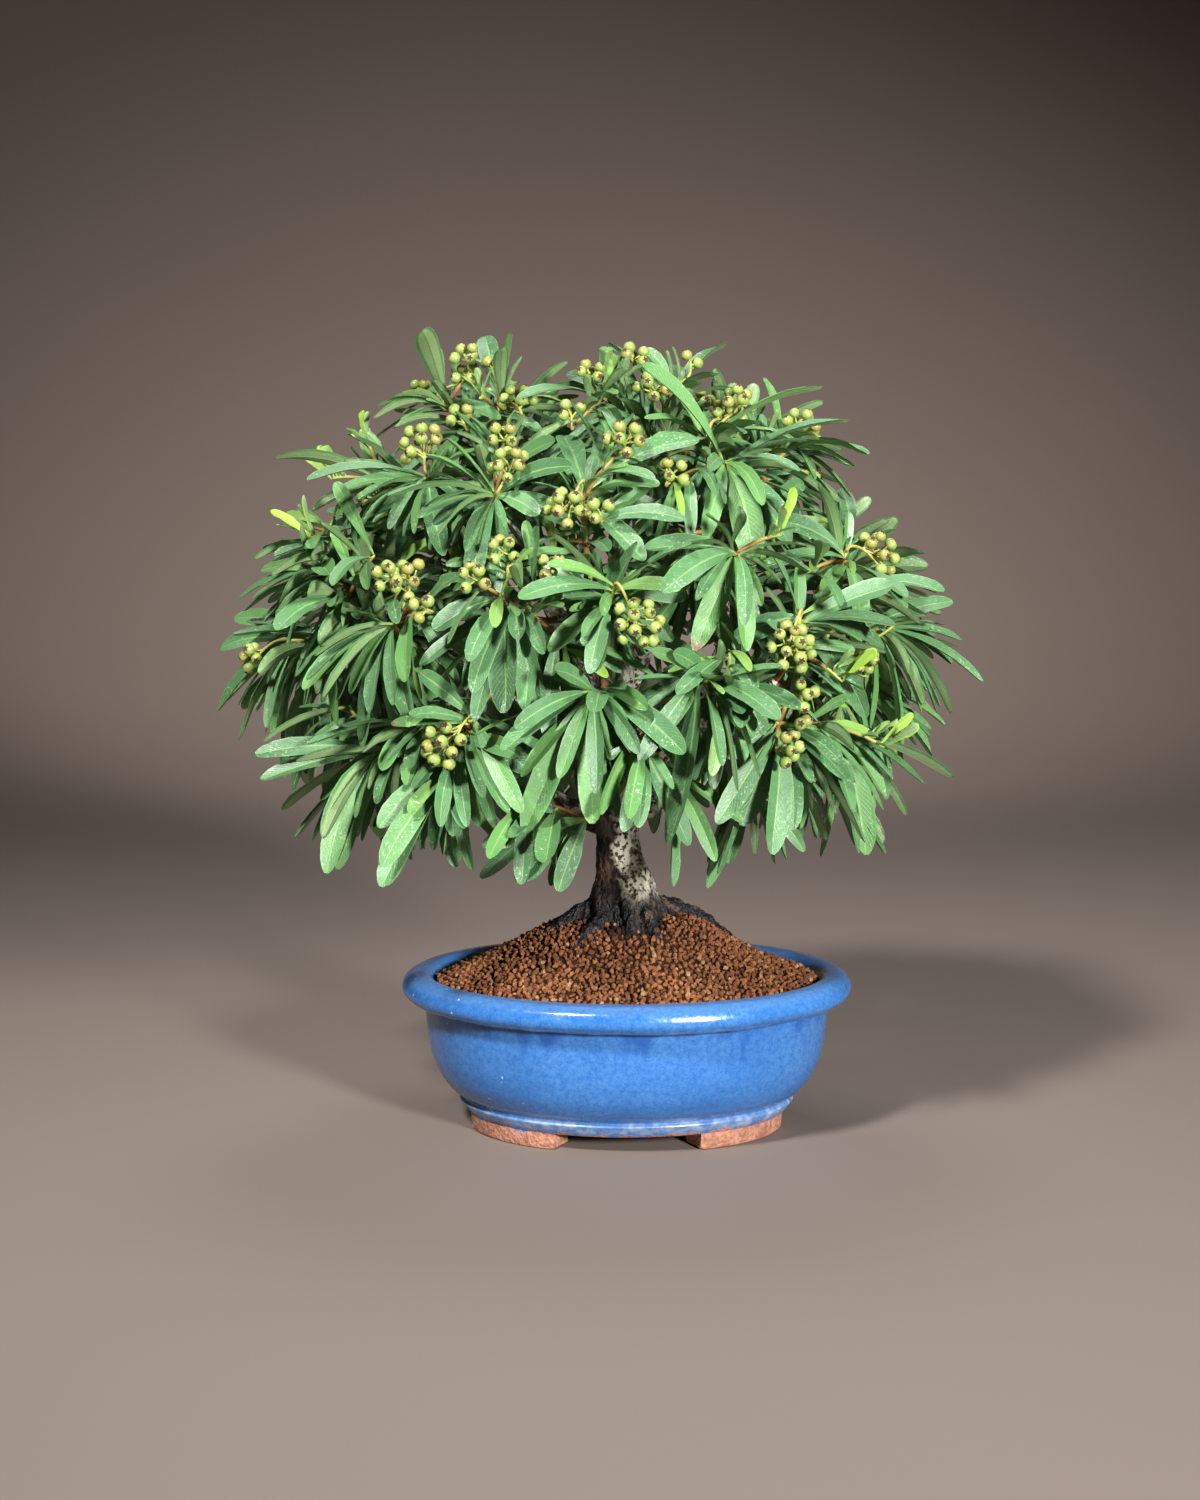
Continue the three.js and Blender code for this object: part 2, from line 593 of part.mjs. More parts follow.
function bunchOf(tip, name) {
  const [count, dx, dy, dz] = tip.berries;
  const middle = tip.place.clone().add(vec(dx, dy, dz));
  const along = tip.curve.getTangent(1);
  const start = tip.place.clone().addScaledVector(along, GAP);
  const outward = middle.clone().sub(CROWN_MIDDLE).normalize();
  const crown = BUNCH.crown * Math.sqrt(count);
  const hub = middle.clone().addScaledVector(outward, -crown);
  const elbow = start.clone().addScaledVector(along, 0.4 * hub.distanceTo(start));
  const stalk = new THREE.QuadraticBezierCurve3(start, elbow, hub);
  const { normal, side } = across(outward, vec(0.3, 0.2, 1));
  const berries = Array.from({ length: count }, (_, i) => {
    const lean = Math.acos(1 - (BUNCH.cap * (i + 0.5)) / count);
    const wide = BUNCH.wide * crown * Math.sin(lean);
    const angle = i * TURN;
    return hub.clone().addScaledVector(outward, BUNCH.high * crown * Math.cos(lean))
      .addScaledVector(side, wide * Math.cos(angle)).addScaledVector(normal, wide * Math.sin(angle));
  });
  return { name, stalk, hub, berries };
}

const shownBerries = ({ berries }) => {
  const step = Math.max(1, Math.ceil(berries.length / SHOWN_BERRIES));
  return berries.filter((_, i) => i % step === 0);
};

function bunchSolid(bunch, thicker) {
  const parts = [stem(bunch.stalk, STALK.thin * thicker, STALK.thick * thicker, STALK)];
  const root = bunch.hub.clone().addScaledVector(bunch.stalk.getTangent(1), -PEDICEL.root);
  for (const berry of shownBerries(bunch)) {
    parts.push(stem(new THREE.LineCurve3(root, berry), 0, PEDICEL.thick * thicker, PEDICEL));
    parts.push(solidOf(new THREE.IcosahedronGeometry(BERRY_RADIUS, 0).translate(berry.x, berry.y, berry.z)));
  }
  return joined(parts);
}

function occupyBunch(bunch) {
  occupyStem(bunch.stalk, bunch.name);
  for (const berry of bunch.berries) {
    const shell = [[1, 0, 0], [-1, 0, 0], [0, 1, 0], [0, -1, 0], [0, 0, 1], [0, 0, -1]]
      .map(([x, y, z]) => berry.clone().addScaledVector(vec(x, y, z), BERRY_RADIUS * 0.7));
    occupy([...shell, berry.clone().lerp(bunch.hub, 0.5)], bunch.name, 0);
  }
}

// The crown as a list of sprays

function backSprays() {
  return Array.from({ length: BACK.count }, (_, i) => {
    const height = THREE.MathUtils.lerp(BACK.lowest, BACK.highest, (i + 0.5) / BACK.count);
    const angle = Math.PI * (((i * GOLDEN) % 1) * 1.06 - 0.03);
    const wide = Math.sqrt(1 - height * height);
    const [rx, ry, rz] = BACK.reach;
    const [cx, cy, cz] = BACK.middle;
    const place = [cx + rx * wide * Math.cos(angle), cy + ry * wide * Math.sin(angle), cz + rz * height];
    const out = vec(...place).sub(CROWN_MIDDLE).normalize().multiplyScalar(10);
    const berries = BACK_BERRIES.includes(i) ? [BACK_BERRY_COUNT, out.x, out.y, out.z + 3] : undefined;
    return [[place, [], BACK.leaves, berries]];
  });
}

const numbered = (word, n) => `${word}_${String(n + 1).padStart(2, '0')}`;

const sprays = [...FRONT_SPRAYS, ...backSprays()].map((rows, n) => {
  const places = rows.map(([at]) => vec(...at));
  const seat = spraySeat(places);
  const tips = rows.map(([, leading, more, berries], k) => ({
    place: places[k], leading, more, berries, seed: 100 + 10 * n + k, curve: twigCurve(seat, places[k]),
  }));
  return { name: numbered('leafy_spray', n), seat, tips, leaves: [] };
});
const fruiting = sprays.flatMap((spray) => spray.tips.filter((tip) => tip.berries));
const bunches = fruiting.map((tip, n) => bunchOf(tip, numbered('berry_bunch', n)));

limbCurves.forEach((curve) => occupyStem(curve, 'trunk'));
sprays.forEach((spray) => occupyStem(spray.seat.branch, 'trunk'));
sprays.forEach((spray) => spray.tips.forEach((tip) => occupyStem(tip.curve, spray.name)));
bunches.forEach(occupyBunch);
sprays.forEach(leadingLeaves);
sprays.forEach(ruleLeaves);

function spraySolid(spray, thicker) {
  const [thick, thin] = [TWIG.thick * thicker, TWIG.thin * thicker];
  const twigs = spray.tips.map((tip) => stem(tip.curve, thick, thin, TWIG));
  return joined([...twigs, ...spray.leaves.map((leaf) => leafSolid(leaf, thicker))]);
}

function tree(thicker) {
  const limbs = LIMBS.map((limb, i) => stem(limbCurves[i], limb[3] * thicker, limb[4] * thicker, LIMB_FACES));
  const branches = sprays.map(({ seat }) => stem(seat.branch, BRANCH.thick * thicker, TWIG.thick, BRANCH));
  return joined([trunkPole(), ...roots(), ...limbs, ...branches]);
}

// The whole bonsai

const bonsai = new THREE.Group();
bonsai.position.set(...STAND);

function addNode(name, solid, material) {
  const mesh = new THREE.Mesh(geometryOf(solid), material);
  mesh.name = name;
  bonsai.add(mesh);
}

addNode('pot', fused(pot), GLAZE);
addNode('drain_mesh_left', drainMesh(-DRAIN.reach), MESH_PLASTIC);
addNode('drain_mesh_right', drainMesh(DRAIN.reach), MESH_PLASTIC);
addNode('soil', fused(soil), CLAY_GRAIN);
addNode('trunk', fused(tree), BARK);
sprays.forEach((spray) => addNode(spray.name, fused((thicker) => spraySolid(spray, thicker)), LEAF_GREEN));
bunches.forEach((bunch) => addNode(bunch.name, fused((thicker) => bunchSolid(bunch, thicker)), BERRY_GREEN));

export default bonsai;
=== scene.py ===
"""Finished look of a firethorn bonsai in an oval blue pot.

The pot, the soil, the wood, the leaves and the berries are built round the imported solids, in their frame.
Sizes are in millimetres about the pot's middle, and Skin turns them into Blender's metres. The crown grows by
the rule of the solids, so that each fine leaf and berry lies where the solid one does, and more of both fill
the room between.
"""

import logging
import math
from collections import defaultdict
from collections.abc import Callable, Sequence
from dataclasses import dataclass, field
from enum import Enum

import bpy
import numpy as np
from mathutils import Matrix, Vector, noise


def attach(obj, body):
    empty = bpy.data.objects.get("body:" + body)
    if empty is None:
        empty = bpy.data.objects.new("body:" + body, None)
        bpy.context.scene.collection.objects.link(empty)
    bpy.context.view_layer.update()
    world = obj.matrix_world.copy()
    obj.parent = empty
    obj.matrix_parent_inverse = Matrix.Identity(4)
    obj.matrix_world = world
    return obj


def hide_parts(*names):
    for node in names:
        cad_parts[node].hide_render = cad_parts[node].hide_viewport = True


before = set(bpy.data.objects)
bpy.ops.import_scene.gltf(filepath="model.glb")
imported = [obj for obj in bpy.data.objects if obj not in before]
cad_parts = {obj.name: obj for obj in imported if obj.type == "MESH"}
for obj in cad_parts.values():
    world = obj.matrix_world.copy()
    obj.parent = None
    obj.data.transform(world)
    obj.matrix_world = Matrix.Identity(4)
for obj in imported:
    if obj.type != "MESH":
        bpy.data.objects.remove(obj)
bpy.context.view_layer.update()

log = logging.getLogger("firethorn")

Point = np.ndarray
Place = tuple[float, float, float]
Colour = tuple[float, float, float]
Span = tuple[float, float, float, float]
Piece = bpy.types.Object
Mesh = bpy.types.Mesh
Material = bpy.types.Material
Tree = bpy.types.NodeTree

BODY = "root"
MM = 0.001
UP = np.array((0.0, 0.0, 1.0))
RIGHT = np.array((1.0, 0.0, 0.0))
STAND = np.array((14.0, 0.0, 0.0))  # the pot's middle in the part's frame
GAP = 0.35  # between a stem and the one that carries it on
TURN = math.radians(137.5)  # from one leaf, berry or corner to the next


# Points and curves


def vec(x: float, y: float, z: float) -> Point:
    """A point or a direction in millimetres."""
    return np.array((x, y, z), float)


def unit(direction: Point) -> Point:
    """The direction at length one, row by row where there are several."""
    return direction / np.linalg.norm(direction, axis=-1, keepdims=True)


def lerp(low: float, high: float, share: float) -> float:
    """The value at a share of the way from low to high."""
    return (1 - share) * low + share * high


def held(value: float) -> float:
    """The value, kept from 0 to 1."""
    return min(1.0, max(0.0, value))


def across(along: Point, facing: Point) -> tuple[Point, Point]:
    """Directions square to a line.

    Args:
        along: The line's direction, or several of them.
        facing: Roughly where the outer side looks.

    Returns:
        The direction of the outer side, and the direction sideways.
    """
    dot = np.sum(along * facing, axis=-1, keepdims=True)
    normal = unit(facing - along * dot)
    return normal, np.cross(along, normal)


def around(along: Point, angle: float) -> Point:
    """The direction that leaves a stem squarely, at an angle round it."""
    normal, side = across(along, RIGHT if abs(along[2]) > 0.9 else UP)
    return side * math.cos(angle) + normal * math.sin(angle)


def turned(direction: Point, axis: Point, angle: float) -> Point:
    """The direction turned about an axis of length one."""
    swept = direction * math.cos(angle) + np.cross(axis, direction) * math.sin(angle)
    return swept + axis * float(axis @ direction) * (1 - math.cos(angle))


def on_ball(height: float, angle: float) -> Point:
    """The direction to a place on a ball, at a height from -1 to 1."""
    wide = math.sqrt(1 - height * height)
    return vec(wide * math.cos(angle), wide * math.sin(angle), height)


def full_turn(sides: int) -> Point:
    """The angles of points spread evenly round a ring."""
    return np.arange(sides) * 2 * math.pi / sides


def ring(reach: float | Point, height: float | Point, sides: int, squash: float | Point = 1) -> Point:
    """Points spread evenly round the z axis, drawn into an oval by squash."""
    angles = full_turn(sides)
    return np.stack([reach * np.cos(angles), reach * np.sin(angles) * squash, height + 0 * angles], 1)


@dataclass(frozen=True)
class Bend:
    """A curve with one knee between its start and its end."""

    start: Point
    knee: Point
    end: Point

    def at(self, share: float | Point) -> Point:
        """The point, or points, at a share of the curve."""
        t = np.asarray(share, float)[..., None]
        return (1 - t) ** 2 * self.start + 2 * t * (1 - t) * self.knee + t * t * self.end

    def along(self, share: float | Point) -> Point:
        """The direction, or directions, at a share of the curve."""
        t = np.asarray(share, float)
        return unit(self.at(np.minimum(t + 1e-4, 1)) - self.at(np.maximum(t - 1e-4, 0)))

    def length(self) -> float:
        """How long the curve is."""
        steps = np.diff(self.at(np.linspace(0, 1, 201)), axis=0)
        return float(np.linalg.norm(steps, axis=1).sum())


class Seeded:
    """A repeatable stream of numbers from 0 to 1, the same as the solids were grown with."""

    WORD = 0xFFFFFFFF
    STEP = 0x6D2B79F5

    def __init__(self, seed: int) -> None:
        """Starts the stream at a seed."""
        self.state = seed & self.WORD

    def __call__(self) -> float:
        """The next number.

        Returns:
            A number from 0 up to 1.
        """
        self.state = (self.state + self.STEP) & self.WORD
        t = self.state
        t = ((t ^ (t >> 15)) * (t | 1)) & self.WORD
        t ^= (t + (((t ^ (t >> 7)) * (t | 61)) & self.WORD)) & self.WORD
        return (t ^ (t >> 14)) / (self.WORD + 1)


# Meshes


def linked(name: str, data: bpy.types.ID) -> Piece:
    """Puts a mesh, a light or a camera in the scene as an object.

    Args:
        name: The object's name.
        data: What it shows.

    Returns:
        The object, linked to the scene.
    """
    made = bpy.data.objects.new(name, data)
    bpy.context.scene.collection.objects.link(made)
    return made


def mesh_of(name: str, corners: Point, faces: Sequence[Sequence[int]] = (), **marks: Sequence) -> Mesh:
    """Makes a mesh.

    Args:
        name: Its name.
        corners: Its points in metres, one row each.
        faces: Corner numbers.
        marks: A number or a vector for each point, by attribute name.

    Returns:
        The mesh, with no object yet.
    """
    mesh = bpy.data.meshes.new(name)
    mesh.from_pydata(np.asarray(corners).tolist(), [], faces)
    for mark, values in marks.items():
        rows = np.asarray(values, np.float32)
        kind, key = ("FLOAT_VECTOR", "vector") if rows.ndim == 2 else ("FLOAT", "value")
        mesh.attributes.new(mark, kind, "POINT").data.foreach_set(key, rows.ravel())
    return mesh


def smooth(piece: Piece) -> None:
    """Shades all faces smooth."""
    piece.data.polygons.foreach_set("use_smooth", [True] * len(piece.data.polygons))


def strips(rings: int, sides: int) -> list[tuple[int, ...]]:
    """The faces between rings of points, ring by ring."""
    steps = [(r * sides, i, (i + 1) % sides) for r in range(rings - 1) for i in range(sides)]
    return [(r + sides + i, r + sides + j, r + j, r + i) for r, i, j in steps]


@dataclass
class Skin:
    """Corners and faces of a mesh while it is put together."""

    corners: list[Point] = field(default_factory=list)
    faces: list[tuple[int, ...]] = field(default_factory=list)
    marks: dict[str, list[float]] = field(default_factory=lambda: defaultdict(list))

    def add(self, corners: Point, faces: Sequence[Sequence[int]], **marks: float | Point) -> None:
        """Adds a patch.

        Args:
            corners: The patch's points, one row each.
            faces: Corner numbers, counted from the patch's first point.
            marks: A value for each corner, or one for all, by attribute name.
        """
        first = len(self.corners)
        self.corners.extend(corners)
        self.faces.extend(tuple(first + i for i in face) for face in faces)
        for name, value in marks.items():
            self.marks[name].extend(np.broadcast_to(value, len(corners)))

    def loft(self, rings: Point, **marks: float | Point) -> None:
        """Adds a closed tube through rings of points.

        Args:
            rings: Points as ring, place in the ring and coordinate. A middle point closes each end.
            marks: A value for each ring, or one for all, by attribute name.
        """
        count, sides = rings.shape[:2]
        corners = np.vstack([rings.reshape(-1, 3), rings[0].mean(0), rings[-1].mean(0)])
        near, far, last = count * sides, count * sides + 1, (count - 1) * sides
        faces = []
        for i in range(sides):
            j = (i + 1) % sides
            faces += [(r + i, r + j, r + sides + j, r + sides + i) for r in range(0, last, sides)]
            faces += [(near, j, i), (far, last + i, last + j)]
        spread = {}
        for name, value in marks.items():
            per_ring = np.broadcast_to(value, count)
            spread[name] = np.append(np.repeat(per_ring, sides), [per_ring[0], per_ring[-1]])
        self.add(corners, faces, **spread)

    def tube(self, curve: Bend, radii: Point, sides: int, **marks: float | Point) -> None:
        """Adds a round stem along a curve, with one ring for each radius.

        Args:
            curve: The stem's middle.
            radii: Its radius at even steps along the curve.
            sides: How many sides it has.
            marks: A value for each ring, or one for all, by attribute name.
        """
        shares = np.linspace(0, 1, len(radii))
        along = curve.along(shares)
        normal, side = across(along, RIGHT if abs(along[0][2]) > 0.8 else UP)
        angles = full_turn(sides)[None, :, None]
        spokes = np.cos(angles) * side[:, None] - np.sin(angles) * normal[:, None]
        self.loft(curve.at(shares)[:, None] + spokes * np.asarray(radii)[:, None, None], **marks)

    def piece(self, name: str, material: Material | None = None) -> Piece:
        """Makes the object at the origin, in metres, with its finish unless it is a helper.

        Args:
            name: The piece's name.
            material: Its finish, or None for a helper.

        Returns:
            The linked object.
        """
        made = linked(name, mesh_of(name, (np.asarray(self.corners) + STAND) * MM, self.faces, **self.marks))
        smooth(made)
        if material:
            made.data.materials.append(material)
        return made


def settle(piece: Piece) -> Piece:
    """Turns a piece's modifiers into its plain mesh.

    Args:
        piece: The piece with its modifiers.

    Returns:
        The same piece.
    """
    graph = bpy.context.evaluated_depsgraph_get()
    solved = piece.evaluated_get(graph)
    mesh = bpy.data.meshes.new_from_object(solved, preserve_all_data_layers=True, depsgraph=graph)
    piece.modifiers.clear()
    piece.data = mesh
    return piece


def forget(*helpers: Piece) -> None:
    """Removes helpers that were only needed to build other pieces."""
    for helper in helpers:
        bpy.data.objects.remove(helper)


class Slot(Enum):
    """Names of material slots."""

    GLAZE = "blue_glaze"
    GRAIN = "clay_grain"
    NET = "drain_mesh"
    BARK = "bark"
    LEAF = "leaf"
    BERRY = "berry"


def present(piece: Piece, slot: Slot, *nodes: str) -> None:
    """Puts a finished piece on the part's body and reports it.

    Args:
        piece: The finished mesh.
        slot: Not used.
        nodes: The CAD nodes that it stands for.
    """
    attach(piece, BODY)
    if nodes:
        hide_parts(*nodes)
    log.info("%s: %d faces for %s", piece.name, len(piece.data.polygons), ", ".join(nodes) or "nothing")


# Node trees


class Value:
    """What a node puts out. A sum written with it becomes a node."""

    def __init__(self, loom: "Loom", socket: bpy.types.NodeSocket) -> None:
        """Keeps the socket with the loom that writes its tree."""
        self.loom, self.socket = loom, socket

    def __add__(self, other: "Feed") -> "Value":
        """This plus the other."""
        return self.loom.sum("ADD", self, other)

    def __sub__(self, other: "Feed") -> "Value":
        """This less the other."""
        return self.loom.sum("SUBTRACT", self, other)

    def __rsub__(self, other: "Feed") -> "Value":
        """The other less this."""
        return self.loom.sum("SUBTRACT", other, self)

    def __mul__(self, other: "Feed") -> "Value":
        """This times the other, or this vector scaled by it."""
        return self.loom.sum("MULTIPLY", self, other)


Feed = float | int | str | Sequence[float] | bpy.types.ID | Value
Inputs = dict[str | int, Feed]


class Loom:
    """Writes a node tree in few words."""

    def __init__(self, tree: Tree) -> None:
        """Writes into the given tree."""
        self.tree = tree

    def node(self, kind: str, inputs: Inputs | None = None, **settings: object) -> bpy.types.Node:
        """Adds a node, sets it, and links or sets its inputs, which are given by name or number.

        Args:
            kind: The node's type.
            inputs: Values or sockets, by input name or number.
            settings: The node's own settings.

        Returns:
            The node.
        """
        made = self.tree.nodes.new(kind)
        for name, value in settings.items():
            setattr(made, name, value)
        for key, value in (inputs or {}).items():
            fits = [s for s in made.inputs if s.name == key and s.enabled] if isinstance(key, str) else []
            socket = fits[0] if fits else made.inputs[key]
            if isinstance(value, Value):
                self.tree.links.new(value.socket, socket)
            else:
                is_colour = isinstance(value, tuple) and socket.type == "RGBA"
                socket.default_value = (*value, 1) if is_colour else value
        return made

    def out(
        self, kind: str, inputs: Inputs | None = None, output: str | int = 0, **settings: object
    ) -> Value:
        """Adds a node as node does and gives one of its outputs.

        Args:
            kind: The node's type.
            inputs: Values or sockets, by input name or number.
            output: The output that is wanted.
            settings: The node's own settings.

        Returns:
            That output.
        """
        return Value(self, self.node(kind, inputs, **settings).outputs[output])

    def sum(self, operation: str, *values: Feed, clamp: bool = False) -> Value:
        """One sum, on vectors where the first value is one. Dot products and lengths give a number.

        Args:
            operation: What is worked out.
            values: What it is worked out from.
            clamp: Whether a number is kept from 0 to 1.

        Returns:
            The result.
        """
        first = values[0]
        if not (isinstance(first, Value) and first.socket.type == "VECTOR"):
            return self.out("ShaderNodeMath", dict(enumerate(values)), operation=operation, use_clamp=clamp)
        if operation == "MULTIPLY":
            return self.out("ShaderNodeVectorMath", {0: first, 3: values[1]}, operation="SCALE")
        output = "Value" if operation in ("DOT_PRODUCT", "LENGTH") else "Vector"
        return self.out("ShaderNodeVectorMath", dict(enumerate(values)), output, operation=operation)


def new_tree(name: str, kind: str, sockets: Sequence[tuple[str, str, str]]) -> tuple[Loom, dict[str, Value]]:
    """Starts a node group.

    Args:
        name: Its name.
        kind: Which kind of tree it is.
        sockets: Whether each is an INPUT or an OUTPUT, its name and its type.

    Returns:
        The loom that writes it, and its inputs by name.
    """
    tree = bpy.data.node_groups.new(name, kind)
    for way, key, socket_type in sockets:
        tree.interface.new_socket(key, in_out=way, socket_type=f"NodeSocket{socket_type}")
    loom = Loom(tree)
    return loom, {s.name: Value(loom, s) for s in loom.node("NodeGroupInput").outputs if s.name}


class Effects:
    """Surface effects that several finishes share, each built once as a node group."""

    def __init__(self) -> None:
        """Builds the three groups."""
        self.mottle = self._group("Mottle", ("Scale", "Fineness", "Contrast"), self._mottle)
        self.dust = self._group("Dust", ("Scale", "Amount"), self._dust)
        self.speckle = self._group("Speckle", ("Scale", "Size", "Share"), self._speckle)

    @staticmethod
    def _group(name: str, numbers: Sequence[str], lay: Callable[[Loom, dict[str, Value]], Value]) -> Tree:
        """A group with a place, a normal and some numbers as inputs, and the mask that lay writes.

        Args:
            name: Its name.
            numbers: The names of its number inputs.
            lay: Writes the nodes and gives the mask.

        Returns:
            The group.
        """
        sockets = [("INPUT", key, "Vector") for key in ("Vector", "Normal")]
        sockets += [("INPUT", key, "Float") for key in numbers]
        loom, given = new_tree(name, "ShaderNodeTree", [*sockets, ("OUTPUT", "Mask", "Float")])
        loom.node("NodeGroupOutput", {"Mask": lay(loom, given)})
        return loom.tree

    @staticmethod
    def _mottle(loom: Loom, given: dict[str, Value]) -> Value:
        """Two sizes of cloud laid over each other, from 0 to 1.

        Args:
            loom: The loom that writes the tree.
            given: The group's inputs by name.

        Returns:
            The mask.
        """
        cloud = {"Vector": given["Vector"], "Scale": given["Scale"], "Detail": 2.0}
        coarse = loom.out("ShaderNodeTexNoise", cloud, "Fac")
        finer = {**cloud, "Scale": given["Scale"] * given["Fineness"]}
        both = coarse + loom.out("ShaderNodeTexNoise", finer, "Fac") - 1
        return loom.sum("ADD", both * given["Contrast"], 0.5, clamp=True)

    @staticmethod
    def _dust(loom: Loom, given: dict[str, Value]) -> Value:
        """Pale dust in fine spots, more of it on what faces up, which also serves as painted sheen.

        Args:
            loom: The loom that writes the tree.
            given: The group's inputs by name.

        Returns:
            The mask.
        """
        fine = {"Vector": given["Vector"], "Scale": given["Scale"], "Detail": 4.0, "Roughness": 0.7}
        patch = {"Vector": given["Vector"], "Scale": 70.0, "Detail": 2.0}
        fine_cloud, patch_cloud = (loom.out("ShaderNodeTexNoise", cloud, "Fac") for cloud in (fine, patch))
        spots = loom.out("ShaderNodeMapRange", {0: fine_cloud, 1: 0.56, 2: 0.7})
        patches = loom.out("ShaderNodeMapRange", {0: patch_cloud, 1: 0.38, 2: 0.62})
        upward = loom.out("ShaderNodeSeparateXYZ", {0: given["Normal"]}, "Z")
        settled = loom.sum("MULTIPLY_ADD", upward, 0.35, 0.65, clamp=True)
        return loom.sum("MULTIPLY", spots * patches * settled, given["Amount"], clamp=True)

    @staticmethod
    def _speckle(loom: Loom, given: dict[str, Value]) -> Value:
        """Small round specks, few and apart.

        Args:
            loom: The loom that writes the tree.
            given: The group's inputs by name.

        Returns:
            The mask.
        """
        where = {"Vector": given["Vector"], "Scale": given["Scale"]}
        cells = loom.node("ShaderNodeTexVoronoi", where).outputs
        inside = loom.sum("LESS_THAN", Value(loom, cells["Distance"]), given["Size"])
        lot = loom.out("ShaderNodeSeparateColor", {0: Value(loom, cells["Color"])})
        return inside * loom.sum("LESS_THAN", lot, given["Share"])


class Look(Loom):
    """Writes a material: masks and mixes that end in one shader."""

    def __init__(self, name: str, specular: float, effects: Effects) -> None:
        """Starts a material with its specular level, which is the same all over.

        Args:
            name: The material's name.
            specular: How strongly it mirrors.
            effects: The shared effects.
        """
        self.effects = effects
        self.material = bpy.data.materials.new(name)
        self.material.use_nodes = True
        super().__init__(self.material.node_tree)
        self.tree.nodes.clear()
        self.shader = self.node("ShaderNodeBsdfPrincipled", {"Specular IOR Level": specular})
        self.node("ShaderNodeOutputMaterial", {"Surface": Value(self, self.shader.outputs[0])})
        self.place = self.out("ShaderNodeTexCoord", output="Object")

    def mark(self, name: str) -> Value:
        """A number that the mesh carries at each point."""
        return self.out("ShaderNodeAttribute", output="Fac", attribute_name=name)

    def mix(self, share: Feed, low: Feed, high: Feed) -> Value:
        """A colour between two colours."""
        return self.out("ShaderNodeMix", {0: share, 6: low, 7: high}, 2, data_type="RGBA")

    def band(self, value: Feed, low: float, high: float, start: float = 0, end: float = 1) -> Value:
        """A number eased from start to end as value goes from low to high."""
        inputs = dict(enumerate((value, low, high, start, end)))
        return self.out("ShaderNodeMapRange", inputs, interpolation_type="SMOOTHSTEP")

    def layer(self, height: Value, span: Span) -> Value:
        """A band of heights: its start, where it is full from and to, and its end."""
        return self.band(height, span[0], span[1]) * self.band(height, span[3], span[2])

    def most(self, one: Feed, other: Feed) -> Value:
        """The larger of two numbers."""
        return self.sum("MAXIMUM", one, other)

    def noise(self, scale: float, detail: float = 3, place: Value | None = None) -> Value:
        """Cloudy noise from 0 to 1, at so many clouds a metre."""
        inputs = {"Vector": place or self.place, "Scale": scale, "Detail": detail}
        return self.out("ShaderNodeTexNoise", inputs, "Fac")

    def flattened(self, height: float) -> Value:
        """The place with its height scaled, for streaks."""
        return self.out("ShaderNodeMapping", {"Vector": self.place, "Scale": (1, 1, height)})

    def split(self) -> list[Value]:
        """The x, y and z of the place."""
        return [Value(self, s) for s in self.node("ShaderNodeSeparateXYZ", {0: self.place}).outputs]

    def mottle(self, scale: float, fineness: float, contrast: float, place: Value | None = None) -> Value:
        """The mottle with this finish's own values."""
        inputs = {"Vector": place or self.place, "Scale": scale, "Fineness": fineness, "Contrast": contrast}
        return self.out("ShaderNodeGroup", inputs, "Mask", node_tree=self.effects.mottle)

    def dust(self, scale: float, amount: float) -> Value:
        """The dust and painted sheen with this finish's own values."""
        normal = self.out("ShaderNodeNewGeometry", output="Normal")
        inputs = {"Vector": self.place, "Normal": normal, "Scale": scale, "Amount": amount}
        return self.out("ShaderNodeGroup", inputs, "Mask", node_tree=self.effects.dust)

    def speckle(self, scale: float, size: float, share: float) -> Value:
        """The specks with this finish's own values."""
        inputs = {"Vector": self.place, "Scale": scale, "Size": size, "Share": share}
        return self.out("ShaderNodeGroup", inputs, "Mask", node_tree=self.effects.speckle)

    def bump(self, height: Feed, distance: float, strength: float, under: Value | None = None) -> Value:
        """A normal bent by a height, over another where one lies under it."""
        inputs = {"Height": height, "Distance": distance, "Strength": strength}
        return self.out("ShaderNodeBump", {**inputs, "Normal": under} if under else inputs)


# Finishes

Paint = tuple[Feed, Feed, Value | None]


class Finish:
    """What all finishes share. Each sets its title, its specular level and its paint."""

    title = ""
    specular = 0.5

    def paint(self, look: Look) -> Paint:
        """Lays the nodes.

        Args:
            look: The material to write in.

        Returns:
            The colour, the roughness and the normal.
        """
        raise NotImplementedError

    def material(self, effects: Effects) -> Material:
        """Builds the material with the shared effects.

        Args:
            effects: The shared effects.

        Returns:
            The material.
        """
        look = Look(self.title, self.specular, effects)
        for key, value in zip(("Base Color", "Roughness", "Normal"), self.paint(look)):
            if isinstance(value, Value):
                look.tree.links.new(value.socket, look.shader.inputs[key])
            elif value is not None:
                look.shader.inputs[key].default_value = value
        return look.material


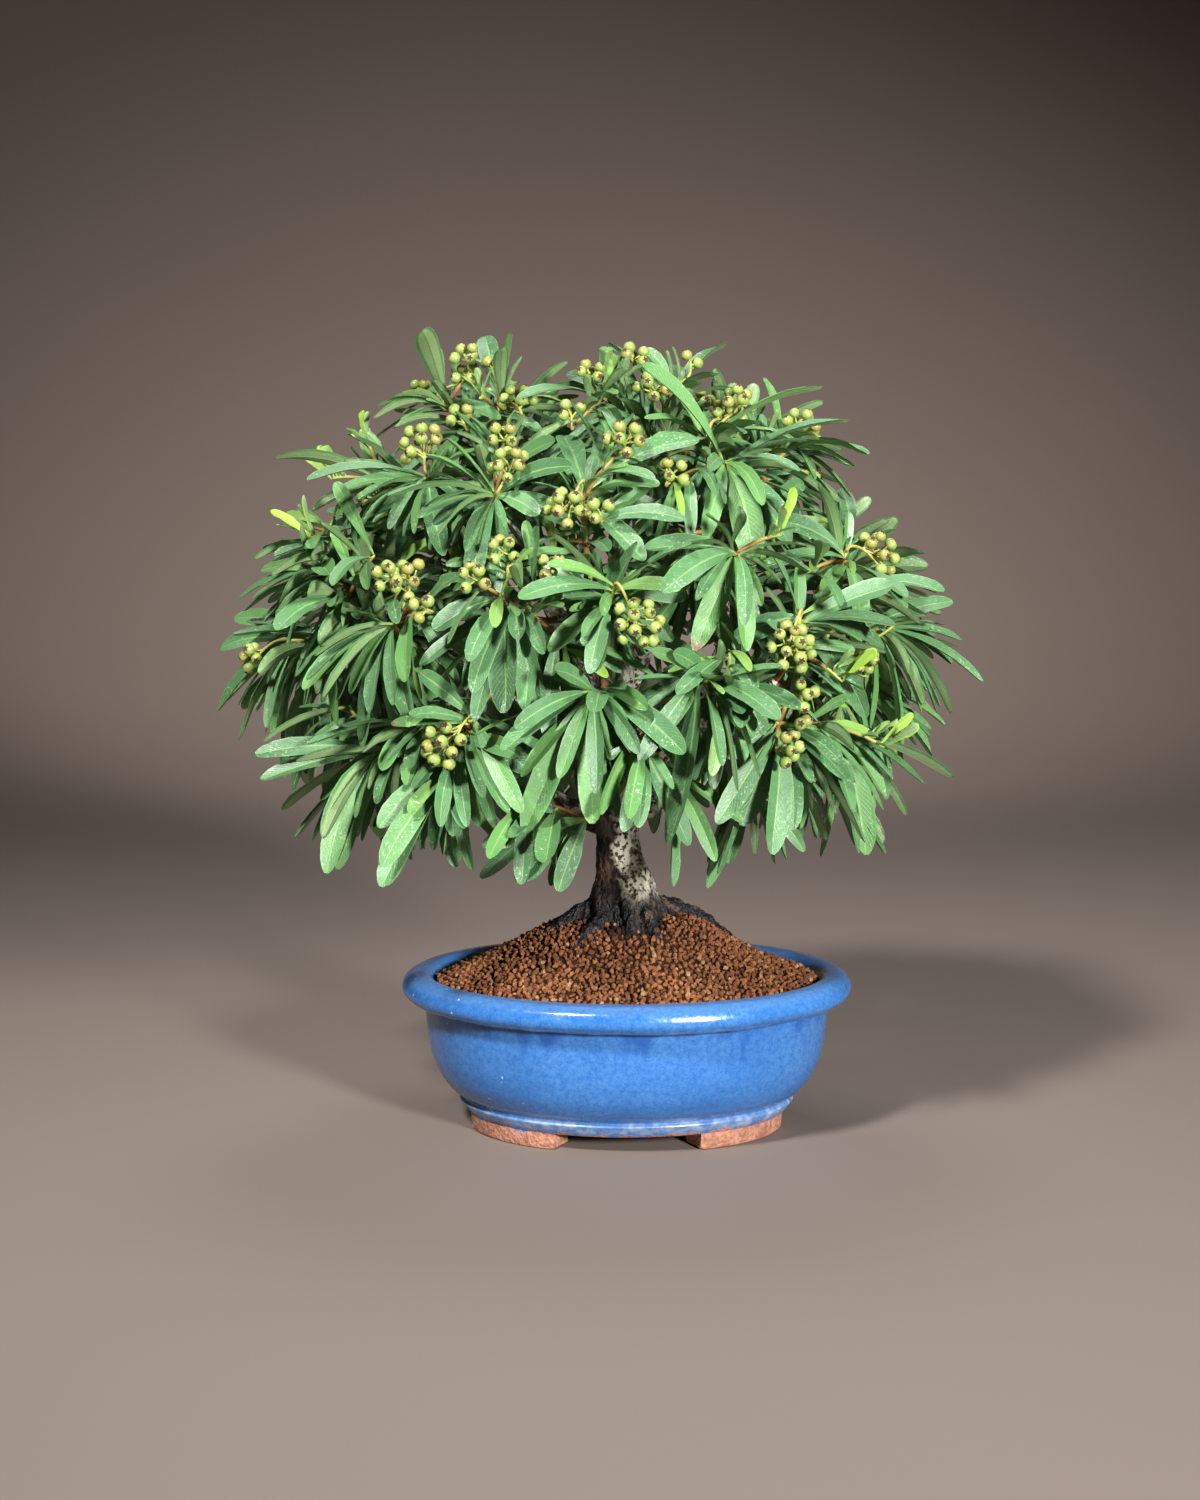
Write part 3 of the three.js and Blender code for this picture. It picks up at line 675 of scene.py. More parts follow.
@dataclass(frozen=True)
class GlazeFinish(Finish):
    """Mottled blue glaze that breaks pale at edges and leaves the feet bare clay."""

    title = "blue_glaze"
    specular = 0.65
    deep: Colour = (0.004, 0.062, 0.28)
    body: Colour = (0.019, 0.115, 0.37)
    pale: Colour = (0.057, 0.19, 0.465)
    lip: Colour = (0.057, 0.125, 0.3)
    broken: Colour = (0.42, 0.5, 0.6)
    underside_line: Colour = (0.06, 0.05, 0.07)
    clay: Colour = (0.5, 0.23, 0.15)
    stain: Colour = (0.27, 0.115, 0.07)
    neck_height: float = 0.057
    lip_edge: Span = (0.0568, 0.058, 0.0586, 0.0602)
    underside_span: Span = (0.0568, 0.0575, 0.0577, 0.0584)
    base_edge: Span = (0.0075, 0.0105, 0.0125, 0.0165)

    def paint(self, look: Look) -> Paint:
        """Lays the glaze, its drips and breaks, and the bare clay below.

        Args:
            look: The material to write in.

        Returns:
            The colour, the roughness and the normal.
        """
        x, _, z = look.split()
        fine = look.mottle(420, 2.6, 1.8)
        blue = look.mix(fine, self.body, self.pale)
        cloudy = look.band(look.noise(24, 2), 0.4, 0.8, 0, 0.5)
        blue = look.mix(cloudy, blue, look.mix(0.5, self.body, self.deep))
        run = (z - self.neck_height) * 20 + look.noise(75, 4, look.flattened(0.55))
        drips = look.band(run, 0.36, 0.58, 0, 0.8) * look.band(z, 0.0585, self.neck_height)
        blue = look.mix(drips, blue, self.deep)
        blue = look.mix(look.band(z, 0.0655, 0.069), blue, look.mix(fine, self.lip, self.pale))
        edge_break = look.layer(z, self.lip_edge) * look.band(look.noise(180), 0.45, 0.75, 0, 0.25)
        # A thin dark line in patches along the lip's underside, where it meets the body.
        underside_line = look.layer(z, self.underside_span) * look.band(look.noise(120), 0.35, 0.6)
        blue = look.mix(underside_line, blue, self.underside_line)
        base_break = look.layer(z, self.base_edge) * look.band(look.noise(190, 4), 0.38, 0.72, 0.15, 0.75)
        blue = look.mix(look.most(edge_break, base_break), blue, self.broken)
        pinholes = look.speckle(330, 0.17, 0.07)
        blue = look.mix(pinholes * look.band(x, 0, -0.06), blue, self.broken)
        bare = look.band(look.noise(150) * 0.009 + z, 0.0132, 0.0118)
        grit = look.mottle(160, 4, 2)
        colour = look.mix(bare, blue, look.mix(grit, self.clay, self.stain))
        roughness = look.most(bare, base_break * 0.6) * 0.55 + look.band(fine, 0.2, 0.9, 0.16, 0.26)
        waves = look.bump(look.noise(45, 1), 0.0012, 0.25)
        dents = look.bump(pinholes * -1, 0.0002, 0.6, waves)
        return colour, roughness, look.bump(grit * bare, 0.0006, 0.7, dents)


@dataclass(frozen=True)
class GrainFinish(Finish):
    """Baked clay crumbs, orange-brown, most of them darker near the trunk."""

    title = "clay_grain"
    specular = 0.08
    orange: Colour = (0.31, 0.128, 0.054)
    brown: Colour = (0.13, 0.052, 0.025)
    tan: Colour = (0.4, 0.25, 0.13)
    trunk_dark: Colour = (0.022, 0.014, 0.011)
    plain_from: float = 0.041
    dark_to: float = 0.033

    def paint(self, look: Look) -> Paint:
        """Gives each crumb its own shade.

        Args:
            look: The material to write in.

        Returns:
            The colour, the roughness and the normal.
        """
        lot = look.mark("lot")
        crumb = look.mottle(500, 3, 1.6)
        colour = look.mix(look.band(lot, 0.1, 0.9), self.brown, self.orange)
        colour = look.mix(look.band(lot, 0.94, 0.97), colour, self.tan)
        colour = look.mix(crumb * 0.6, colour, self.brown)
        x, y, _ = look.split()
        flat = look.out("ShaderNodeCombineXYZ", {0: x - STAND[0] * MM, 1: y})
        ragged = look.noise(110, 2) * 0.022 + look.sum("LENGTH", flat)
        # Crumbs with a lower lot within about 3 to 4 cm of the trunk are laid near black.
        darkened = look.band(ragged, self.plain_from, self.dark_to) * look.band(lot, 0.75, 0.6)
        colour = look.mix(darkened, colour, self.trunk_dark)
        return colour, look.band(lot, 0, 1, 0.75, 0.95), look.bump(crumb, 0.0004, 0.8)


@dataclass(frozen=True)
class GapShadeFinish(Finish):
    """A near-black ground under the crumbs: painted shade for the gaps between them."""

    title = "humus"
    specular = 0.05
    dark: Colour = (0.012, 0.007, 0.005)
    light: Colour = (0.06, 0.024, 0.012)

    def paint(self, look: Look) -> Paint:
        """Lays a dark mottle of painted shade."""
        crumb = look.mottle(300, 3, 2)
        return look.mix(crumb, self.dark, self.light), 0.95, look.bump(crumb, 0.001, 0.8)


@dataclass(frozen=True)
class BarkFinish(Finish):
    """Rough dark bark, nearly black at the foot, with a pale patch on the right, lit side that is partly
    lichen and partly painted light.
    """

    title = "bark"
    specular = 0.4
    dark: Colour = (0.012, 0.008, 0.006)
    brown: Colour = (0.085, 0.045, 0.028)
    lichen_and_painted_light: Colour = (0.74, 0.73, 0.58)
    moss: Colour = (0.22, 0.21, 0.13)
    spot: Colour = (0.13, 0.062, 0.036)
    foot: Colour = (0.009, 0.008, 0.009)
    root: Colour = (0.11, 0.06, 0.042)
    flare_height: float = 0.124

    def paint(self, look: Look) -> Paint:
        """Lays plates, moss, lichen with painted light on the right side, and the near-black foot.

        Args:
            look: The material to write in.

        Returns:
            The colour, the roughness and the normal.
        """
        x, _, z = look.split()
        plates = look.mottle(170, 3.5, 1.9, look.flattened(0.5))
        colour = look.mix(look.band(plates, 0.25, 0.8), self.dark, self.brown)
        colour = look.mix(look.band(look.noise(90, 2), 0.5, 0.62) * 0.25, colour, self.moss)
        # The pale patch covers the trunk's right half, which the right key lights: partly lichen, partly
        # painted light.
        flared = look.most(self.flare_height - z, 0)
        rightward = flared * -0.2 + (look.noise(170) * 0.014 + x)
        patch = look.band(rightward, 0.0135, 0.018) * look.band(z, 0.098, 0.114)
        patch = patch * look.band(look.noise(420), 0.38, 0.5)
        upper = look.band(look.noise(75), 0.46, 0.54) * look.band(z, 0.138, 0.15)
        patchy = look.mix(look.band(plates, 0.6, 1, 0, 0.7), self.lichen_and_painted_light, self.moss)
        spotted = look.most(look.speckle(460, 0.38, 0.5), look.band(look.noise(260, 2), 0.6, 0.66, 0, 0.85))
        colour = look.mix(look.most(patch, upper), colour, look.mix(spotted, patchy, self.spot))
        # The trunk's foot is laid near black and less rough, less so under the pale patch.
        low = look.band(look.noise(140) * 0.016 + z, 0.119, 0.108) * (patch * -0.85 + 1)
        reddish = look.band(look.noise(210), 0.55, 0.66) * look.band(x, 0.012, 0.022, 0, 0.7)
        colour = look.mix(low, colour, look.mix(reddish, self.foot, self.root))
        roughness = low * -0.32 + look.band(plates, 0, 1, 0.95, 0.78)
        cracks = look.bump(plates, 0.0016, 0.9)
        return colour, roughness, look.bump(look.noise(900), 0.0007, 0.7, cracks)


@dataclass(frozen=True)
class TwigFinish(Finish):
    """Young wood and berry stalks: brown where old, green and orange at the young end."""

    title = "twig"
    specular = 0.4
    old: Colour = (0.11, 0.055, 0.03)
    young: Colour = (0.34, 0.36, 0.085)
    orange: Colour = (0.34, 0.17, 0.045)

    def paint(self, look: Look) -> Paint:
        """Lays the wood by its age.

        Args:
            look: The material to write in.

        Returns:
            The colour, the roughness and the normal.
        """
        young = look.mark("young")
        patches = look.mottle(120, 5, 1.5)
        fresh = look.mix(look.band(patches, 0.6, 0.95, 0, 0.45), self.young, self.orange)
        colour = look.mix(young, look.mix(patches, self.old, self.orange), fresh)
        return colour, look.band(young, 0, 1, 0.8, 0.45), look.bump(patches, 0.0003, 0.5)


@dataclass(frozen=True)
class LeafFinish(Finish):
    """Satin leaf with a pale midrib, fine side veins, a pale underside, dusty marks that are partly painted
    sheen, and painted shade on leaves inside the crown.
    """

    title = "leaf"
    # dark and bright follow the lot: dark for leaves deep in the crown, bright for outer ones, partly painted
    # shade and light
    dark: Colour = (0.013, 0.055, 0.018)
    green: Colour = (0.066, 0.2, 0.055)
    bright: Colour = (0.112, 0.28, 0.06)
    bloom: Colour = (0.11, 0.235, 0.125)
    fresh: Colour = (0.33, 0.52, 0.045)
    rib: Colour = (0.24, 0.4, 0.14)
    stalk: Colour = (0.36, 0.45, 0.1)
    under: Colour = (0.19, 0.28, 0.13)
    dust: Colour = (0.55, 0.64, 0.55)
    brown: Colour = (0.16, 0.09, 0.03)
    vein_turns: float = 150
    vein_slant: float = -0.16

    def paint(self, look: Look) -> Paint:
        """Lays the green by the leaf's lot, which carries painted shade that darkens leaves inside the crown,
        then veins, ribs, the underside, and dust that is partly painted sheen.

        Args:
            look: The material to write in.

        Returns:
            The colour, the roughness and the normal.
        """
        along, side, top, lot, young = map(look.mark, ("along", "side", "top", "lot", "young"))
        away = look.sum("ABSOLUTE", side)
        cloud = look.mottle(60, 6, 1.2)
        # The lot mixes a random tone with painted shade: inner leaves go dark, outer ones bright.
        colour = look.mix(look.band(lot, 0, 0.9), self.dark, self.green)
        colour = look.mix(cloud * look.band(lot, -0.2, 0.7, 0.1, 0.65), colour, self.bloom)
        colour = look.mix(look.band(lot, 0.72, 0.98, 0, 0.6), colour, self.bright)
        wave = look.sum("SINE", (away * self.vein_slant + along) * self.vein_turns)
        veins = look.band(wave, 0.55, 1) * look.band(away, 0.98, 0.5)
        colour = look.mix(veins * 0.22, colour, self.rib)
        colour = look.mix(young * 0.9, colour, self.fresh)
        rib = look.band(look.sum("DIVIDE", away, look.band(along, 0.1, 0.9, 0.13, 0.05)), 1.5, 0.6)
        pale_lines = look.most(rib * 0.55, look.band(away, 0.86, 0.97, 0, 0.25))
        colour = look.mix(pale_lines, colour, self.rib)
        below = look.mix(cloud, self.under, look.mix(0.5, self.under, self.rib))
        colour = look.mix(look.band(top, 0.6, 0.4), colour, below)
        colour = look.mix(look.band(along, 0.13, 0.03), colour, self.stalk)
        scorched = look.band(along, 0.9, 0.98) * look.band(lot, 0.985, 0.995)
        colour = look.mix(scorched, colour, self.brown)
        # Pale specks, more on upward faces and towards the tip: partly dust, partly painted sheen for white
        # highlights.
        where = look.band(young, 0.6, 0.2) * look.band(along, 0.2, 0.95, 0.35, 1)
        dust = look.dust(800, 1.1) * where
        colour = look.mix(dust, colour, self.dust)
        roughness = dust * 0.3 + look.band(cloud, 0.1, 0.9, 0.34, 0.5)
        ribbed = look.bump(rib * 1.6 + veins * 0.5, 0.0004, 0.45)
        return colour, roughness, look.bump(look.noise(700, 2), 0.0004, 0.3, ribbed)


@dataclass(frozen=True)
class BerryFinish(Finish):
    """Unripe yellow-green berry with a dark star where the flower was."""

    title = "berry"
    skin: Colour = (0.205, 0.295, 0.052)
    blush: Colour = (0.31, 0.2, 0.055)
    light: Colour = (0.32, 0.41, 0.115)
    star: Colour = (0.045, 0.024, 0.016)

    def paint(self, look: Look) -> Paint:
        """Lays the skin, its blush, its star, and pale specks that are partly painted sheen.

        Args:
            look: The material to write in.

        Returns:
            The colour, the roughness and the normal.
        """
        lot, star = look.mark("lot"), look.mark("star")
        cloud = look.mottle(180, 4, 1.3)
        colour = look.mix(cloud, self.skin, self.light)
        colour = look.mix(look.band(lot, 0.6, 1) * 0.5, colour, self.blush)
        colour = look.mix(look.band(star, 0.05, 0.45, 0, 0.6), colour, self.blush)
        colour = look.mix(look.band(star, 0.45, 0.6), colour, self.star)
        # Specks of the lighter skin, more on upward faces: partly painted sheen.
        colour = look.mix(look.dust(1800, 0.3), colour, self.light)
        return colour, look.band(star, 0.3, 0.6, 0.3, 0.8), look.bump(cloud, 0.0003, 0.3)


@dataclass(frozen=True)
class NetFinish(Finish):
    """Dark moulded plastic net."""

    title = "drain_net"
    dark: Colour = (0.012, 0.014, 0.012)
    worn: Colour = (0.05, 0.05, 0.045)

    def paint(self, look: Look) -> Paint:
        """Lays a fine dull grain.

        Args:
            look: The material to write in.

        Returns:
            The colour, the roughness and the normal.
        """
        grain = look.mottle(400, 4, 1.5)
        colour = look.mix(grain, self.dark, self.worn)
        return colour, look.band(grain, 0, 1, 0.5, 0.7), look.bump(grain, 0.0002, 0.4)


@dataclass(frozen=True)
class FloorFinish(Finish):
    """Plain pale studio floor."""

    title = "studio_floor"
    specular = 0.2
    pale: Colour = (0.2, 0.163, 0.143)

    def paint(self, look: Look) -> Paint:
        """Lays one colour that hardly changes."""
        return look.mix(look.noise(3, 2), self.pale, tuple(0.96 * c for c in self.pale)), 0.8, None


class Finishes:
    """All finishes of the bonsai, built once."""

    def __init__(self) -> None:
        """Builds each material."""
        effects = Effects()
        self.glaze = GlazeFinish().material(effects)
        self.grain = GrainFinish().material(effects)
        self.humus = GapShadeFinish().material(effects)
        self.bark = BarkFinish().material(effects)
        self.twig = TwigFinish().material(effects)
        self.leaf = LeafFinish().material(effects)
        self.berry = BerryFinish().material(effects)
        self.net = NetFinish().material(effects)
        self.floor = FloorFinish().material(effects)


# Geometry node trees


def geometry_tree(name: str, **inputs: str) -> tuple[Loom, dict[str, Value]]:
    """Starts a geometry node tree.

    Args:
        name: Its name.
        inputs: The type of each input by name, after the geometry itself.

    Returns:
        The loom that writes it, and its inputs by name.
    """
    sockets = [(way, "Geometry", "Geometry") for way in ("OUTPUT", "INPUT")]
    return new_tree(name, "GeometryNodeTree", [*sockets, *(("INPUT", *each) for each in inputs.items())])


def finish_tree(loom: Loom, instances: Value, material: Value, place: Value | None = None) -> Tree:
    """Ends a tree: real geometry, moved into place where asked, with its material.

    Args:
        loom: The loom that writes the tree.
        instances: What the tree has set out.
        material: The finish, as an input.
        place: Where each point belongs, or None where it is.

    Returns:
        The tree.
    """
    real = loom.out("GeometryNodeRealizeInstances", {0: instances})
    if place:
        real = loom.out("GeometryNodeSetPosition", {"Geometry": real, "Position": place})
    dressed = loom.out("GeometryNodeSetMaterial", {"Geometry": real, "Material": material})
    loom.node("NodeGroupOutput", {0: dressed})
    return loom.tree


def grow(piece: Piece, tree: Tree, **values: object) -> Piece:
    """Runs a geometry node tree on a piece, with its inputs by name, and keeps the plain mesh.

    Args:
        piece: The piece.
        tree: The tree to run.
        values: Its inputs by name.

    Returns:
        The same piece, as a plain mesh.
    """
    modifier = piece.modifiers.new(tree.name, "NODES")
    modifier.node_group = tree
    for socket in tree.interface.items_tree:
        if socket.in_out == "INPUT" and socket.name in values:
            modifier[socket.identifier] = values[socket.name]
    return settle(piece)


# Pot


@dataclass
class GlazedPot:
    """Oval pot: a lathe shape drawn into an oval, with four curved feet and two drain holes."""

    oval: float = 19
    oval_from: float = 60
    sides: int = 192
    per_span: int = 5
    bow: float = 0.65
    lowest: float = 7.4
    outside: tuple[tuple[float, float], ...] = (
        (0, 7.4), (40, 7.4), (68, 7.4), (70.8, 7.6), (74.8, 12.6), (73.9, 14.4), (79, 18.5), (83.8, 25),
        (87, 33), (88.8, 43), (89.9, 54), (90.4, 57), (96.5, 58.4), (99.4, 61), (100, 63.6), (98.6, 67.4),
        (95, 69.6), (90, 69.8),
    )
    inside: tuple[tuple[float, float], ...] = (
        (87.2, 68.2), (85, 64), (84, 58), (83.4, 48), (80.5, 33), (75, 22), (66, 15.4), (40, 15), (0, 15),
    )
    edge_height: float = 58.4
    edge_from: float = 91
    uneven_from: float = 60
    foot_section: tuple[tuple[float, float], ...] = (
        (70.6, 8.6), (70.2, 1.4), (69.7, 0.4), (68.6, 0), (57.4, 0), (56.4, 0.5), (56, 1.6), (55.6, 8.6),
    )
    foot_middle: float = 63.1
    foot_from: float = 8
    foot_to: float = 63
    drain_reach: float = 35
    drain_radius: float = 7
    sharp_from: float = 38

    def squash(self, radius: Point) -> Point:
        """The share that the pot's depth keeps of its length, at a radius."""
        wide = np.maximum(radius, self.oval_from)
        return (wide - self.oval) / wide

    def rounded(self) -> Point:
        """The wall's profile as a smooth row of radius and height.

        Returns:
            Rows of radius and height, from the middle below to the middle inside.
        """
        knots = np.array(self.outside + self.inside, float)
        padded = np.vstack([knots[0], knots, knots[-1]])
        rows = []
        for a, b, c, d in zip(padded, padded[1:], padded[2:], padded[3:]):
            for t in np.arange(self.per_span) / self.per_span:
                bowed = b + 0.5 * t * (c - a + t * (2 * a - 5 * b + 4 * c - d + t * (3 * (b - c) + d - a)))
                rows.append(lerp(lerp(b, c, t), bowed, self.bow))
        return np.clip(np.array([*rows, knots[-1]]), [0, self.lowest], [100, 70])

    def wall(self, finish: Material) -> Piece:
        """The body, with a softly uneven lip where the glaze has run.

        Args:
            finish: The material that it wears.

        Returns:
            The closed wall, without feet and holes.
        """
        angles = full_turn(self.sides)
        runs, tears = (
            np.array([noise.noise((waves * math.cos(a), waves * math.sin(a), z)) for a in angles])
            for waves, z in ((3, 0.7), (11, 4.1))
        )
        sag = 0.9 * np.maximum(runs, 0) + 0.7 * np.maximum(tears, 0)
        rings = []
        for radius, height in self.rounded()[1:-1]:
            near_edge = math.exp(-(((height - self.edge_height) / 2.2) ** 2)) * (radius > self.edge_from)
            reach = radius - 0.35 * abs(runs) * (radius > self.uneven_from)
            rings.append(ring(reach, height - near_edge * sag, self.sides, self.squash(reach)))
        skin = Skin()
        skin.loft(np.array(rings))
        return skin.piece("pot_body", finish)

    def foot(self, start: float, end: float, finish: Material) -> Piece:
        """One curved foot between two angles in degrees, with rounded edges and sloping ends.

        Args:
            start: Where it starts.
            end: Where it ends.
            finish: The material that it wears.

        Returns:
            The foot.
        """
        rings = []
        for share in np.linspace(0, 1, 29):
            lean = 1.5 * (1 - min(1, 20 * min(share, 1 - share)))
            angle = math.radians(lerp(start, end, share))
            rings.append([])
            for radius, height in self.foot_section:
                r = lerp(radius, self.foot_middle, 0.06 * lean)
                place = (r * math.cos(angle), (r - self.oval) * math.sin(angle), max(height, 0.5 * lean))
                rings[-1].append(place)
        skin = Skin()
        skin.loft(np.array(rings)[::-1])
        return skin.piece("pot_foot", finish)

    def drain(self, x: float) -> Piece:
        """The plug of air that cuts one drain hole."""
        skin = Skin()
        skin.tube(Bend(vec(x, 0, 0), vec(x, 0, 10), vec(x, 0, 20)), np.full(3, self.drain_radius), 40)
        return skin.piece("drain_cut")

    def build(self, finish: Material) -> None:
        """Builds the pot as one closed mesh and puts it in place of its node.

        Args:
            finish: The material that it wears.
        """
        pot = self.wall(finish)
        quarters = [(self.foot_from, self.foot_to), (180 - self.foot_to, 180 - self.foot_from)]
        quarters += [(180 + a, 180 + b) for a, b in quarters]
        helpers = [(self.foot(a, b, finish), "UNION") for a, b in quarters]
        helpers += [(self.drain(x), "DIFFERENCE") for x in (self.drain_reach, -self.drain_reach)]
        for helper, operation in helpers:
            cut = pot.modifiers.new(operation.lower(), "BOOLEAN")
            cut.object, cut.operation, cut.solver = helper, operation, "MANIFOLD"
        settle(pot)
        forget(*(helper for helper, _ in helpers))
        pot.name = "glazed_pot"
        smooth(pot)
        pot.data.set_sharp_from_angle(angle=math.radians(self.sharp_from))
        present(pot, Slot.GLAZE, "pot")


@dataclass
class DrainNets:
    """The two squares of net over the drain holes. Their solids are right, so they only get a finish."""

    nodes: tuple[str, str] = ("drain_mesh_left", "drain_mesh_right")

    def dress(self, finish: Material) -> None:
        """Gives each net its finish.

        Args:
            finish: The material that it wears.
        """
        for node in self.nodes:
            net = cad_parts[node]
            net.data.materials.clear()
            net.data.materials.append(finish)
            log.info("%s: dressed", node)


# Soil


@dataclass
class SoilBed:
    """A mound of near-black ground, painted shade for the gaps, with crumbs of baked clay lying on it."""

    rim: float = 85.2
    rim_height: float = 65.2
    rise: float = 29.5
    power: float = 1.25
    heap: float = 4.4
    heap_at: float = 0.33
    heap_wide: float = 0.22
    lumps: float = 1.2
    rings: int = 34
    sides: int = 144
    wall: tuple[tuple[float, float], ...] = ((82.8, 62), (82, 48), (79, 33.4), (73.6, 22.6), (64.6, 17))
    kinds: int = 4
    first_kind: int = 40
    crumb_corners: int = 18
    smallest: float = 0.8
    largest: float = 1.65
    spacing: float = 1.95
    density: float = 0.5
    # Each layer's name, lift, seed and share of the spacing
    layers: tuple[tuple, ...] = (("crumbs_lower", 0.2, 3, 1.0), ("crumbs_upper", 0.9, 8, 1.3))

    def height(self, share: float) -> float:
        """How high the mound is at a share of its radius, heaped a little round the trunk."""
        heap = self.heap * np.exp(-(((share - self.heap_at) / self.heap_wide) ** 2))
        return float(self.rim_height + self.rise * (1 - share**self.power) + heap)

    def lumpy_ring(self, pot: GlazedPot, radius: float, height: float, lumps: float) -> Point:
        """One ring of the ground inside the pot, with lumps of a height.

        Args:
            pot: The pot that holds the ground.
            radius: Its radius along the pot.
            height: Its height.
            lumps: How high the lumps are.

        Returns:
            Its points, one row each.
        """
        made = ring(radius, height, self.sides, float(pot.squash(np.array(radius))))
        large, small = (
            np.array([noise.noise((x * scale, y * scale, z)) for x, y, _ in made])
            for scale, z in ((0.06, 2.5), (0.2, 7))
        )
        made[:, 2] += lumps * (large + 0.5 * small)
        return made

    def mound(self, pot: GlazedPot, shares: Point) -> list[Point]:
        """The rings of the mound at shares of its radius."""
        return [self.lumpy_ring(pot, self.rim * s, self.height(s), self.lumps) for s in shares]

    def bed(self, pot: GlazedPot, finish: Material) -> None:
        """The near-black ground, painted shade for the gaps between crumbs, as one closed mound that fills
        the pot.

        Args:
            pot: The pot that holds the ground.
            finish: The material that it wears.
        """
        rows = self.mound(pot, np.linspace(0.02, 1, self.rings))
        rows += [self.lumpy_ring(pot, r, z, 0) for r, z in self.wall]
        skin = Skin()
        skin.loft(np.array(rows)[::-1])
        present(skin.piece("soil_bed", finish), Slot.GRAIN, "soil")

    @staticmethod
    def hull_tree() -> Tree:
        """Geometry nodes that wrap points in a hull."""
        loom, given = geometry_tree("hull")
        loom.node("NodeGroupOutput", {0: loom.out("GeometryNodeConvexHull", {0: given["Geometry"]})})
        return loom.tree

    def crumb(self, seed: int, hull: Tree) -> Piece:
        """One angular crumb, a unit across.

        Args:
            seed: The start of its random numbers.
            hull: The tree that wraps it.

        Returns:
            The crumb.
        """
        random = Seeded(seed)
        corners = []
        for i in range(self.crumb_corners):
            place = on_ball(1 - 2 * (i + 0.5) / self.crumb_corners, i * TURN + random())
            corners.append(place * (0.65 + 0.6 * random()) * (1, 0.85, 0.8))
        return grow(linked("crumb", mesh_of("crumb", corners)), hull)

    @staticmethod
    def strew_tree() -> Tree:
        """Geometry nodes that strew crumbs of several kinds over a surface.

        Returns:
            The tree.
        """
        loom, given = geometry_tree(
            "strew_crumbs", Crumbs="Collection", Spacing="Float", Density="Float", Smallest="Float",
            Largest="Float", Lift="Float", Seed="Int", Finish="Material",
        )
        points = loom.out("GeometryNodeDistributePointsOnFaces", {
            "Mesh": given["Geometry"], "Distance Min": given["Spacing"], "Density Max": given["Density"],
            "Seed": given["Seed"],
        }, "Points", distribute_method="POISSON")
        each = {"Collection": given["Crumbs"], "Separate Children": True}
        kinds = loom.out("GeometryNodeCollectionInfo", each)
        any_way = {"Max": (6.28, 6.28, 6.28), "Seed": 5}
        turn = loom.out("FunctionNodeRandomValue", any_way, data_type="FLOAT_VECTOR")
        sizes = {"Min": given["Smallest"], "Max": given["Largest"], "Seed": 9}
        placed = loom.out("GeometryNodeInstanceOnPoints", {
            "Points": points, "Instance": kinds, "Pick Instance": True, "Rotation": turn,
            "Scale": loom.out("FunctionNodeRandomValue", sizes, 1),
        })
        lot = loom.out("FunctionNodeRandomValue", {"Seed": 11}, 1)
        inputs = {"Geometry": placed, "Name": "lot", "Value": lot}
        named = loom.out("GeometryNodeStoreNamedAttribute", inputs, domain="INSTANCE")
        lift = loom.out("ShaderNodeCombineXYZ", {2: given["Lift"]})
        lifted = {"Instances": named, "Translation": lift, "Local Space": False}
        return finish_tree(loom, loom.out("GeometryNodeTranslateInstances", lifted), given["Finish"])

    def strew(self, pot: GlazedPot, finish: Material) -> None:
        """Strews the crumbs in layers over the mound.

        Args:
            pot: The pot that holds the ground.
            finish: The material that it wears.
        """
        kinds = bpy.data.collections.new("crumbs")
        hull, tree = self.hull_tree(), self.strew_tree()
        crumbs = [self.crumb(self.first_kind + i, hull) for i in range(self.kinds)]
        for crumb in crumbs:
            kinds.objects.link(crumb)
        rows = np.vstack(self.mound(pot, np.linspace(0.12, 0.985, self.rings)))
        for name, lift, seed, wider in self.layers:
            skin = Skin()
            skin.add(rows, strips(self.rings, self.sides))
            layer = grow(
                skin.piece(name), tree, Crumbs=kinds, Spacing=self.spacing * wider * MM,
                Density=self.density / MM**2, Smallest=self.smallest * MM, Largest=self.largest * MM,
                Lift=lift * MM, Seed=seed, Finish=finish,
            )
            present(layer, Slot.GRAIN)
        forget(*crumbs)

    def build(self, pot: GlazedPot, finishes: Finishes) -> None:
        """Builds the ground and its crumbs."""
        self.bed(pot, finishes.humus)
        self.strew(pot, finishes.grain)


# Crown

CROWN_MIDDLE = vec(-12, 0, 190)
LOWEST_LEAF = 120
LEAF_ARCH = 0.2
LEAF_SPREAD = 0.21
LEAF_SHORTEST, LEAF_LONGEST = 36, 56
LEAF_CLEAR, STALK_CLEAR, OWN_CLEAR = 3.4, 2, 1.6
FINE_CLEAR, FINE_OWN_CLEAR = 1.7, 1.1
BROADEST = 0.66
BERRY_RADIUS = 2.5
TWIG_LENGTH, TWIG_BEND, TWIG_STEPS = 34, 0.36, 3
BRANCH_RISE, SHOOT_RISE = 0.12, 0.16

# Limbs: three points each, then the radius at each end
LIMBS = (
    ((-4, 0, 132), (-36, -22, 150), (-78, -42, 176), 6, 3),
    ((-5, 0, 150), (-48, 4, 186), (-98, 2, 224), 6, 2.8),
    ((-4, 0, 136), (24, -24, 154), (56, -44, 186), 6, 3),
    ((-5, 0, 152), (40, 2, 186), (82, 0, 222), 6, 2.8),
    ((-8, 0, 184), (-34, -8, 232), (-58, -12, 284), 6, 2.8),
    ((-7, 0, 176), (10, -8, 226), (34, -14, 280), 6, 2.8),
    ((-4, 0, 142), (-34, 34, 166), (-66, 60, 206), 6, 3),
    ((-4, 0, 146), (24, 38, 172), (48, 62, 214), 6, 3),
    ((-6, 0, 162), (-12, -28, 186), (-16, -52, 222), 5.6, 2.8),
    ((-7, 0, 178), (-14, 26, 220), (-22, 46, 262), 5.6, 2.8),
)

